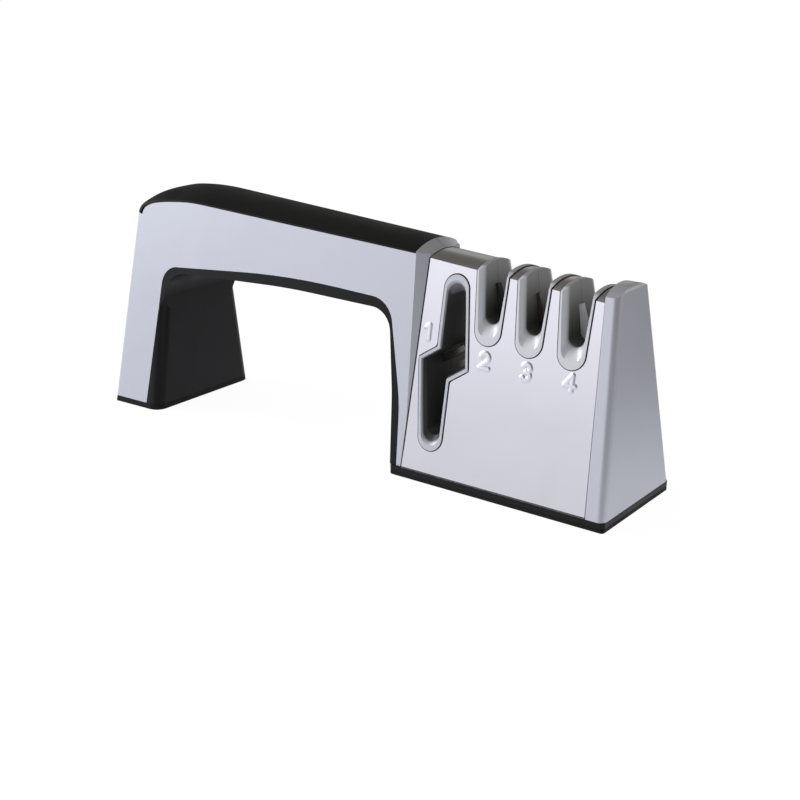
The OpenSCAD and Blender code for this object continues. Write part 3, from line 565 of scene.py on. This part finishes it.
def eased_edges(obj, radius, angle=30.0):
    """The object with every edge sharper than the angle rounded to the radius in millimetres."""
    bevel = obj.modifiers.new("ease", "BEVEL")
    bevel.width = radius * MM
    bevel.segments = 3
    bevel.limit_method = "ANGLE"
    bevel.angle_limit = math.radians(angle)
    bevel.miter_outer = "MITER_ARC"
    return level_normals(baked(obj))


print("slots:", sorted(set(NODE_SLOT.values())))

# %% Helper: an eased copy of a CAD node
MERGE, FLAT = 0.002, math.radians(0.4)


def eased_copy(node, radius, material=None):
    bm = bmesh.new()
    bm.from_mesh(frame["nodes"][node].data)
    bmesh.ops.remove_doubles(bm, verts=bm.verts, dist=MERGE * MM)
    bmesh.ops.dissolve_limit(bm, angle_limit=FLAT, verts=bm.verts, edges=bm.edges)
    for face in bm.faces:
        face.smooth = True
    result = eased_edges(object_from(bm, node + "_eased"), radius)
    dress(result, NODE_SLOT[node], material)
    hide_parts(node)
    print(node, "eased:", len(result.data.polygons), "faces")


# %% Eased pieces
EASE = {"front_shell": 0.45, "rear_shell": 0.45, "arch_frame": 0.4, "end_cap": 0.3, "steel_cover": 0.07,
        "base_tray": 0.25, "base_pad": 0.3, "foot_pad": 0.9, "scissors_insert_front": 0.2,
        "scissors_insert_rear": 0.2, "knife_insert_front": 0.2, "knife_insert_rear": 0.2}
for node, radius in EASE.items():
    eased_copy(node, radius, material="scissors_liner" if node.startswith("scissors_insert") else None)

# %% [markdown]
# ## The soft grip
#
# The grip is a soft black strip along the handle's top. It follows a rule: its ridge climbs out of the leg
# in one curve and then falls in a straight line to the collar, and across the handle it is a shallow arch
# that ends on the shells' leaning faces. Sculpting it would be slow to get even, so it is lofted: rings of
# points along the ridge, joined into quads. The rings stand closer in the bend than along the straight bar.

# %% The handle's lines, in millimetres
HANDLE_TOP, HANDLE_HALF = 82.5, 25
SIDE_K = math.tan(math.radians(8))
FALL_K = math.tan(math.radians(4))
LEG_K = math.tan(math.radians(6.2))
X_LEG, X_WIDE, X_RIM = -104.5, -82.5, 29.7
HANDLE_TAPER = 3.6
TAPER_K = HANDLE_TAPER / (X_RIM - X_WIDE)
RIM_K, RIM_TOP_X = 0.023, 24.8
GRIP_R = 26.0
TAIL_Z, TAIL_DROP, SETTLE = 72.4, 2.15, 1.57
BEND_L, BEND_RISE, BEND_PULL = 33, 11.4, 8.3
BEND_STEPS, BAR_STEPS = 44, 30


def handle_half(x, z):
    return HANDLE_HALF - SIDE_K * z - TAPER_K * (x - X_WIDE)


def bezier(points, t):
    a, b, c, d = points
    return a * (1 - t) ** 3 + b * 3 * t * (1 - t) ** 2 + c * 3 * t * t * (1 - t) + d * t ** 3


def ease(t):
    t = min(max(t, 0.0), 1.0)
    return t * t * (3 - 2 * t)


print("half width at the leg's top:", round(handle_half(X_LEG + LEG_K * TAIL_Z, TAIL_Z), 2))

# %% The ridge
leg_top = Vector((X_LEG + LEG_K * TAIL_Z, TAIL_Z))
bend_end = Vector((leg_top.x + BEND_L, HANDLE_TOP))
bend = [leg_top, leg_top + Vector((LEG_K * BEND_RISE, BEND_RISE)),
        bend_end + Vector((-BEND_PULL, FALL_K * BEND_PULL)), bend_end]
curve = [bezier(bend, i / BEND_STEPS) for i in range(BEND_STEPS + 1)]
lift = HANDLE_TOP - max(p.y for p in curve)
ridge = [leg_top] + [p + Vector((0, lift)) for p in curve[1:]]
rim_x = X_RIM - RIM_K * (HANDLE_TOP + lift - FALL_K * (RIM_TOP_X - bend_end.x) - BASE_H)
for i in range(1, BAR_STEPS + 1):
    x = bend_end.x + (rim_x - bend_end.x) * i / BAR_STEPS
    ridge.append(Vector((x, HANDLE_TOP + lift - FALL_K * (x - bend_end.x))))
print("ridge:", len(ridge), "points, highest", round(max(p.y for p in ridge), 2))

# %% The grip's rings
GRIP_EDGE, PROBE = 0.6, 4
COLUMNS = 36
LEG_EDGE_R, START_RINGS = 1.5, 12
START_POWER, POWER_FALL = 6, 4


def ridge_up(i):
    along = (ridge[min(i + 1, len(ridge) - 1)] - ridge[max(i - 1, 0)]).normalized()
    return Vector((-along.y, along.x))


def leg_profile(y, half):
    """How far the leg's rounded upright edge lies behind its outer face."""
    over = max(abs(y) - (half - LEG_EDGE_R), 0.0)
    return LEG_EDGE_R - math.sqrt(max(LEG_EDGE_R ** 2 - over ** 2, 0.0))


def grip_ring(i):
    """The grip's section at a point of the ridge: first the leg's section, which settles into the arch."""
    up = ridge_up(i)
    settled = ease(i / BEND_STEPS * SETTLE)
    free = ease(i / START_RINGS)
    probe = ridge[i] - up * PROBE
    half = handle_half(probe.x, probe.y)
    full = TAIL_DROP + (GRIP_R - math.sqrt(GRIP_R ** 2 - half ** 2) - TAIL_DROP) * settled
    drop = LEG_EDGE_R + (full - LEG_EDGE_R) * free
    edge = ridge[i] - up * drop
    wide = handle_half(edge.x, edge.y)
    ring = []
    for j in range(COLUMNS + 1):
        t = math.sin((2 * j / COLUMNS - 1) * math.pi / 2)
        arched = full * abs(t) ** (START_POWER - POWER_FALL * settled)
        start = leg_profile(t * wide, wide)
        p = ridge[i] - up * (start + (arched - start) * free)
        ring.append(Vector((p.x, t * wide, p.y)))
    seat = ridge[i] - up * (drop + GRIP_EDGE)
    low = handle_half(seat.x, seat.y)
    return ring + [Vector((seat.x, low, seat.y)), Vector((seat.x, -low, seat.y))]


print("ring:", len(grip_ring(0)), "points")


# %% The grip
GRIP_ROUND, GRIP_CORNER = 0.2, 40


def loft(name, rings):
    """A closed solid through rings of points in millimetres, each with the same number of points."""
    bm = bmesh.new()
    rows = [[bm.verts.new(p * MM) for p in ring] for ring in rings]
    count = len(rows[0])
    for a, b in zip(rows, rows[1:]):
        for j in range(count):
            k = (j + 1) % count
            bm.faces.new((a[j], a[k], b[k], b[j]))
    bm.faces.new(rows[0])
    bm.faces.new(rows[-1])
    bmesh.ops.recalc_face_normals(bm, faces=bm.faces)
    for face in bm.faces:
        face.smooth = True
    return object_from(bm, name)


grip_loft = loft("soft_grip", [grip_ring(i) for i in range(len(ridge))])
grip = eased_edges(grip_loft, GRIP_ROUND, angle=GRIP_CORNER)
dress(grip, "soft_grip")
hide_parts("top_grip")
print("grip:", len(grip.data.polygons), "faces")

# %% [markdown]
# ## Rims, and painted shade in gaps and seams
#
# Each slot's mouth has a raised rim, and a thin gap parts it from the steel; the gap's shade is painted as a
# black line. Black lines of painted shade also run where the steel meets the collar, the end cap and the
# base.
# All of them follow a path, so a small Geometry Nodes tree sweeps a round section along it. Modelling each
# line by hand would take many loops of edges. The section's radius and the finish are inputs, so the same
# tree makes the pale rims and the black lines of painted shade.


# %% The sweep tree
def sweep_tree(name):
    tree = bpy.data.node_groups.new(name, "GeometryNodeTree")
    face = tree.interface
    face.new_socket(name="Path", in_out="INPUT", socket_type="NodeSocketGeometry")
    radius = face.new_socket(name="Radius", in_out="INPUT", socket_type="NodeSocketFloat")
    paint = face.new_socket(name="Finish", in_out="INPUT", socket_type="NodeSocketMaterial")
    face.new_socket(name="Solid", in_out="OUTPUT", socket_type="NodeSocketGeometry")
    start, end = add(tree, "NodeGroupInput"), add(tree, "NodeGroupOutput")
    path = add(tree, "GeometryNodeMeshToCurve")
    section = add(tree, "GeometryNodeCurvePrimitiveCircle")
    section.inputs["Resolution"].default_value = 10
    sweep = add(tree, "GeometryNodeCurveToMesh")
    sweep.inputs["Fill Caps"].default_value = True
    smooth = add(tree, "GeometryNodeSetShadeSmooth")
    real = add(tree, "GeometryNodeRealizeInstances")
    painted = add(tree, "GeometryNodeSetMaterial")
    join(tree, (start.outputs["Path"], path.inputs["Mesh"]),
         (start.outputs["Radius"], section.inputs["Radius"]),
         (path.outputs["Curve"], sweep.inputs["Curve"]),
         (section.outputs["Curve"], sweep.inputs["Profile Curve"]),
         (sweep.outputs["Mesh"], smooth.inputs["Geometry"]),
         (smooth.outputs["Geometry"], real.inputs["Geometry"]),
         (real.outputs["Geometry"], painted.inputs["Geometry"]),
         (start.outputs["Finish"], painted.inputs["Material"]),
         (painted.outputs["Geometry"], end.inputs["Solid"]))
    return tree, radius.identifier, paint.identifier


SWEEP, SWEEP_RADIUS, SWEEP_FINISH = sweep_tree("swept_line")
print("sweep tree:", len(SWEEP.nodes), "nodes")


# %% Helper: sweep paths
def swept(name, paths, radius, material, closed=True):
    """One mesh with a round section along each path of points in millimetres."""
    points, edges = [], []
    for line in paths:
        first = len(points)
        points += [tuple(p * MM) for p in line]
        edges += [(first + i, first + (i + 1) % len(line)) for i in range(len(line) - (not closed))]
    mesh = bpy.data.meshes.new(name + "_path")
    mesh.from_pydata(points, edges, [])
    obj = put_in_scene(name, mesh)
    modifier = obj.modifiers.new("sweep", "NODES")
    modifier.node_group = SWEEP
    modifier[SWEEP_RADIUS] = radius * MM
    modifier[SWEEP_FINISH] = material
    result = baked(obj)
    bm = bmesh.new()
    bm.from_mesh(result.data)
    bmesh.ops.recalc_face_normals(bm, faces=bm.faces)
    bm.to_mesh(result.data)
    bm.free()
    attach(result, "root")
    print(name, "swept:", len(result.data.polygons), "faces in", [m.name for m in result.data.materials])


# %% [markdown]
# ## The block's faces and its crown
#
# The paths lie on the steel, which leans on the front and the rear and is an arch on top. Where a slot's
# side meets the crown depends on the height, which depends on where it meets. Solving that on paper is
# long, so we guess a height and repeat the step a few times, until it hardly moves.

# %% Points on the block
CROWN_GUESS = 70.0


def settled_height(step, z=CROWN_GUESS, rounds=8):
    """The height that the step no longer changes."""
    for _ in range(rounds):
        z = step(z)
    return z


def face_half(z):
    return BLOCK_HALF - FACE_K * (z - BASE_H)


def crown_z(x, y):
    return CROWN_H - CROWN_K * (x - CROWN_X) - (CROWN_R - math.sqrt(CROWN_R ** 2 - y * y))


def crown_edge(x):
    """How high the leaning face reaches before it folds into the crown, and how far it is from the middle."""
    z = settled_height(lambda z: crown_z(x, face_half(z)))
    return z, face_half(z)


def on_face(x, z, side, proud):
    return Vector((x, side * (face_half(z) + proud * math.cos(FACE_LEAN)), z + proud * math.sin(FACE_LEAN)))


print("the crown's edge beside the collar:", [round(v, 2) for v in crown_edge(CROWN_X)])

# %% [markdown]
# ## The knife slots
#
# A knife slot has a round end and two sides that open upwards, and the whole slot leans by two degrees. Its
# outline could be drawn by eye as a curve, but then the rim would drift off the slot's edge. So its points
# are worked out from the same sizes as the CAD model: down one side and round the end on the front, over
# the crown, the same on the rear, and back.

# %% The sides of the knife slots
SLOTS, SLOT_PITCH, SLOT_FALL = 3, 14.95, 0.98
FIRST_SLOT_X, FIRST_SLOT_Z = 56.4, 52.37
SLOT_R, SLOT_LEAN, SLOT_K = 4.1, math.radians(2), math.tan(math.radians(3.6))
LIP_W, LIP_GAP = 0.6, 0.25


def slot_z(i):
    return FIRST_SLOT_Z - SLOT_FALL * i


def slot_point(i, s, t):
    """A point s across and t up from the middle of the slot's round end."""
    return (FIRST_SLOT_X + SLOT_PITCH * i + s * math.cos(SLOT_LEAN) - t * math.sin(SLOT_LEAN),
            slot_z(i) + s * math.sin(SLOT_LEAN) + t * math.cos(SLOT_LEAN))


def side_point(i, side, grow, z):
    """A point on a slot's leaning side, at a height."""
    r = SLOT_R + grow
    reach = math.cos(SLOT_LEAN) + side * SLOT_K * math.sin(SLOT_LEAN)
    t = (z - slot_z(i) - side * r * math.sin(SLOT_LEAN)) / reach
    return slot_point(i, side * (r + SLOT_K * t), t)


def side_top(i, side, grow):
    return settled_height(lambda z: crown_edge(side_point(i, side, grow, z)[0])[0])


print("slot sides reach up to", [round(side_top(i, 1, 0), 1) for i in range(SLOTS)])

# %% The paths round the knife slots
CROWN_STEPS, SIDE_STEPS, ROUND_STEPS = 14, 8, 16
TURN_BELOW = 0.35


def crown_line(i, side, grow, proud):
    """Over the crown along one side of a slot, from the front face to the rear one."""
    half = crown_edge(side_point(i, side, grow, side_top(i, side, grow))[0])[1]
    line = []
    for k in range(CROWN_STEPS + 1):
        y = half * (2 * k / CROWN_STEPS - 1)
        z = settled_height(lambda z: crown_z(side_point(i, side, grow, z)[0], y))
        tilt = math.asin(y / CROWN_R)
        line.append(Vector((side_point(i, side, grow, z)[0], y + proud * math.sin(tilt),
                            z + proud * math.cos(tilt))))
    return line


def half_turn(count):
    """Angles from the left through the bottom towards the right."""
    return [math.radians(180 + 180 * k / ROUND_STEPS) for k in range(count)]


def slot_path(i, grow, proud):
    """Down and round the slot on the front, over the crown, round the slot on the rear, and back."""
    def down_and_round(face_side):
        left_top, right_top = [side_top(i, s, grow) - TURN_BELOW for s in (-1, 1)]
        low, r = slot_z(i), SLOT_R + grow
        left = [side_point(i, -1, grow, left_top - (left_top - low) * k / SIDE_STEPS)
                for k in range(SIDE_STEPS)]
        bottom = [slot_point(i, r * math.cos(a), r * math.sin(a)) for a in half_turn(ROUND_STEPS + 1)]
        right = [side_point(i, 1, grow, low + (right_top - low) * k / SIDE_STEPS)
                 for k in range(1, SIDE_STEPS + 1)]
        return [on_face(x, z, face_side, proud) for x, z in left + bottom + right]

    over_right = crown_line(i, 1, grow, proud)
    over_left = crown_line(i, -1, grow, proud)
    return down_and_round(-1) + over_right + down_and_round(1)[::-1] + over_left[::-1]


print("slot path:", len(slot_path(0, LIP_W / 2, 0)), "points")

# %% [markdown]
# ## The scissors slot
#
# The scissors slot is an S: its upper lobe lies to the right, its lower one to the left, and a sloping step
# joins them. A half turn brings the S onto itself, so only one half is worked out, and turning it gives the
# other. The corners at the step are eased by a short curve, because a swept section pinches at a sharp
# corner.

# %% The path round the scissors slot
SCISSORS_X, SCISSORS_Z = 41.45, 39.4
LOBE_MID, LOBE_R, LOBE_H, LOBE_STEP = 1.7, 4.0, 23.6, 8.9
STEP_TURN, STEP_UP = math.radians(33.3), 0.4
CORNER_REACH, CORNER_STEPS = 1.1, 4
EDGE_STEPS = 6


def rounded(a, corner, b):
    """A corner between two points, eased into a short curve."""
    start = corner + (a - corner).normalized() * CORNER_REACH
    end = corner + (b - corner).normalized() * CORNER_REACH
    return [start.lerp(corner, k / CORNER_STEPS).lerp(corner.lerp(end, k / CORNER_STEPS), k / CORNER_STEPS)
            for k in range(CORNER_STEPS + 1)]


def scissors_path(grow, side, proud):
    """An S of two lobes. The right half is the left one turned half round."""
    inner, outer, step = LOBE_R - LOBE_MID + grow, LOBE_R + LOBE_MID + grow, LOBE_STEP + grow

    def step_height(x):
        return STEP_UP + math.tan(STEP_TURN) * (LOBE_STEP + x) + grow / math.cos(STEP_TURN)

    top = Vector((-inner, LOBE_H))
    near = Vector((-inner, step_height(-inner)))
    far = Vector((-step, step_height(-step)))
    low = Vector((-outer, -LOBE_H))
    straight = [top.lerp(near, k / EDGE_STEPS) for k in range(EDGE_STEPS)]
    slope = [far.lerp(low, k / SIDE_STEPS) for k in range(1, SIDE_STEPS)]
    r = LOBE_R + grow
    bottom = [Vector((-LOBE_MID + r * math.cos(a), -LOBE_H + r * math.sin(a)))
              for a in half_turn(ROUND_STEPS)]
    half = straight + rounded(top, near, far) + rounded(near, far, low) + slope + bottom
    return [on_face(SCISSORS_X + p.x, SCISSORS_Z + p.y, side, proud) for p in half + [-p for p in half]]


print("scissors path:", len(scissors_path(0, -1, 0)), "points")

# %% [markdown]
# ## The rims, and the painted shade in their gaps
#
# The rim is pale plastic that stands a little proud of the steel, and the gap between the two lies in shade,
# painted here as a thin black line. They could be cut into the steel as real steps, but swept lines are
# lighter, and one value sets their width. Both use the same paths: one value moves the path away from the
# slot, and another lifts or sinks it.

# %% Rims, and the painted shade in the gaps
RIM_R, RIM_SUNK = 0.3, 0.08
GAP_R, GAP_SUNK, GAP_PLACE = 0.22, 0.02, 0.7


def all_paths(grow, proud):
    knife_slots = [slot_path(i, grow, proud) for i in range(SLOTS)]
    return knife_slots + [scissors_path(grow, side, proud) for side in (-1, 1)]


swept("slot_rims", all_paths(LIP_W / 2, -RIM_SUNK), RIM_R, finishes["rim_plastic"])
# The gaps: a black swept line of painted shade round each rim.
swept("slot_gap_shade", all_paths(LIP_W + LIP_GAP * GAP_PLACE, -GAP_SUNK), GAP_R, finishes["black_plastic"])

# %% [markdown]
# ## Painted shade in the seams beside and below the steel
#
# Where the sheet meets the collar, the end cap and the base, the joint lies in shade and shows as a thin dark
# line. The CAD model has a groove beside the collar and the cap, but it is too narrow to show in a small
# picture, and at the base the sheet just ends. So the same tree lays a thin black line of painted shade along
# each joint, this time on an open path.

# %% Painted shade in the seams beside and below the steel
COLLAR_SEAM_X, COLLAR_SEAM_K = 29.7, 0.0259
CAP_SEAM_X, CAP_SEAM_K = 98.3, 0.053
SEAM_R, SEAM_SHIFT, SEAM_FOOT = 0.16, 0.08, 3.7
FOOT_UP, FOOT_IN = 0.22, 0.3
SEAM_STEPS, OVER_STEPS, FOOT_STEPS = 12, 16, 8


def collar_seam(z):
    return COLLAR_SEAM_X + COLLAR_SEAM_K * (z - BASE_H) - SEAM_SHIFT


def cap_seam(z):
    return CAP_SEAM_X - CAP_SEAM_K * (z - BASE_H) + SEAM_SHIFT


def seam_path(x_at):
    """Up the front face at the seam, over the crown and down the rear face."""
    top = settled_height(lambda z: crown_edge(x_at(z))[0])
    rise = [SEAM_FOOT + (top - SEAM_FOOT) * k / SEAM_STEPS for k in range(SEAM_STEPS + 1)]
    half = face_half(top)
    over = []
    for k in range(1, OVER_STEPS):
        y = half * (2 * k / OVER_STEPS - 1)
        z = crown_z(x_at(top), y)
        over.append(Vector((x_at(z), y, z)))
    front = [on_face(x_at(z), z, -1, 0) for z in rise]
    rear = [on_face(x_at(z), z, 1, 0) for z in reversed(rise)]
    return front + over + rear


def foot_path(side):
    """Along the steel's lower edge."""
    z = BASE_H + FOOT_UP
    start, end = collar_seam(z) + FOOT_IN, cap_seam(z) - FOOT_IN
    return [on_face(start + (end - start) * k / FOOT_STEPS, z, side, 0) for k in range(FOOT_STEPS + 1)]


# Black lines of painted shade along the steel's joints.
swept("steel_seam_shade", [seam_path(collar_seam), seam_path(cap_seam), foot_path(-1), foot_path(1)], SEAM_R,
      finishes["black_plastic"], closed=False)

# %% [markdown]
# ## The pressed numbers
#
# Plain numbers stand beside and below the slots, pressed out of the sheet from behind, so they are soft
# ridges with no hard edge. Text made solid would have sharp sides. Instead a fine grid follows the sheet,
# and each point rises by its distance to the number's strokes. Only the raised part of the grid is kept,
# and its rim lies just under the sheet, so that the steel seems to swell.


# %% Strokes, in millimetres
def arc(cx, cy, r, start, end, steps=14):
    angles = [math.radians(start + (end - start) * i / steps) for i in range(steps + 1)]
    return [(cx + r * math.cos(a), cy + r * math.sin(a)) for a in angles]


STROKES = {
    "1": [[(-0.95, 1.25), (0.15, 2.05), (0.15, -2.05)]],
    "2": [arc(0, 0.85, 1.25, 165, -40) + [(-1.35, -2.0), (1.4, -2.0)]],
    "3": [arc(-0.05, 0.98, 1.1, 150, -90) + arc(-0.05, -0.98, 1.12, 90, -150)],
    "4": [[(0.6, -2.05), (0.6, 2.05), (-1.5, -0.75), (1.45, -0.75)]],
}
PLACES = {"1": (34.5, 48.2), "2": (56.5, 42.9), "3": (71.8, 42.3), "4": (87.0, 41.9)}
NUMBER_SCALE = 1.15


def stroke_distance(point, strokes):
    distances = []
    for line in strokes:
        for a, b in zip(line, line[1:]):
            a, b = Vector(a) * NUMBER_SCALE, Vector(b) * NUMBER_SCALE
            t = max(0.0, min(1.0, (point - a).dot(b - a) / (b - a).length_squared))
            distances.append((point - (a + (b - a) * t)).length)
    return min(distances)


print("strokes:", {digit: sum(len(line) - 1 for line in lines) for digit, lines in STROKES.items()})

# %% The grid over a number
STEP, REACH, RISE = 0.1, 1.2, 0.27
TOP_SHARE = 1.25
NUMBER_HALF, NUMBER_TALL = 3.0, 3.6
COLS, ROWS = round(2 * NUMBER_HALF / STEP), round(2 * NUMBER_TALL / STEP)


def grid_point(i, j):
    return -NUMBER_HALF + i * STEP, -NUMBER_TALL + j * STEP


def number_rise(strokes):
    """How far each point of the grid rises. A ridge is level near its stroke and falls off to the reach."""
    return {(i, j): RISE * ease(TOP_SHARE * (1 - stroke_distance(Vector(grid_point(i, j)), strokes) / REACH))
            for i in range(COLS + 1) for j in range(ROWS + 1)}


def raised_cells(rise):
    return [(i, j) for i in range(COLS) for j in range(ROWS)
            if max(rise[i, j], rise[i + 1, j], rise[i, j + 1], rise[i + 1, j + 1]) > 0]


print("grid:", COLS, "by", ROWS, "cells")

# %% Numbers
TOP_SUNK, BACK_SUNK = 0.02, 0.12
NUMBER_SHARP = math.radians(60)
ACROSS = Vector((1, 0, 0))
UP_FACE = Vector((0, math.sin(FACE_LEAN), math.cos(FACE_LEAN)))
OUT_OF_FACE = Vector((0, -math.cos(FACE_LEAN), math.sin(FACE_LEAN)))


def pressed_number(digit):
    """A closed shell: the raised cells, a back just under the sheet, and a wall round their rim."""
    x, z = PLACES[digit]
    middle = Vector((x, -face_half(z), z))
    rise = number_rise(STROKES[digit])
    bm = bmesh.new()
    tops, lows, rim = {}, {}, {}

    def corner(store, key, out):
        if key not in store:
            u, v = grid_point(*key)
            store[key] = bm.verts.new((middle + ACROSS * u + UP_FACE * v + OUT_OF_FACE * out) * MM)
        return store[key]

    for i, j in raised_cells(rise):
        keys = [(i, j), (i + 1, j), (i + 1, j + 1), (i, j + 1)]
        bm.faces.new([corner(tops, k, rise[k] - TOP_SUNK) for k in keys])
        bm.faces.new([corner(lows, k, -BACK_SUNK) for k in reversed(keys)])
        for a, b in zip(keys, keys[1:] + keys[:1]):
            if (b, a) in rim:
                del rim[b, a]
            else:
                rim[a, b] = True
    for a, b in rim:
        bm.faces.new((tops[b], tops[a], lows[a], lows[b]))
    for face in bm.faces:
        face.smooth = True
    bmesh.ops.recalc_face_normals(bm, faces=bm.faces)
    obj = object_from(bm, "number_" + digit)
    obj.data.set_sharp_from_angle(angle=NUMBER_SHARP)
    # The numbers get the rougher steel, painted lighter than the sheet as a highlight.
    dress(obj, "polished_steel", "pressed_steel_painted_highlight")
    return len(obj.data.polygons)


for digit in STROKES:
    print("number", digit, "pressed:", pressed_number(digit), "faces")

# %% [markdown]
# ## The pieces that stay plain
#
# The sharpening plates show only in the slots, and the screws, the grip's carrier, the leg's closing plate
# and the inner frame lie inside. Their CAD meshes are good enough as they are, so each only gets the finish
# of its slot. They could be eased too, but nobody would see it.

# %% Finishes for the plain nodes
plain = [name for name in frame["nodes"] if name not in EASE and name != "top_grip"]
for name in plain:
    mesh = frame["nodes"][name].data
    mesh.materials.clear()
    mesh.materials.append(finishes[NODE_SLOT[name]])
print("plain nodes:", len(plain))

# %% [markdown]
# ## The view, and the end
#
# The Standard view keeps white paper white, where a filmic one would grey it.

# %% The view, and the end
scene.view_settings.view_transform = "Standard"
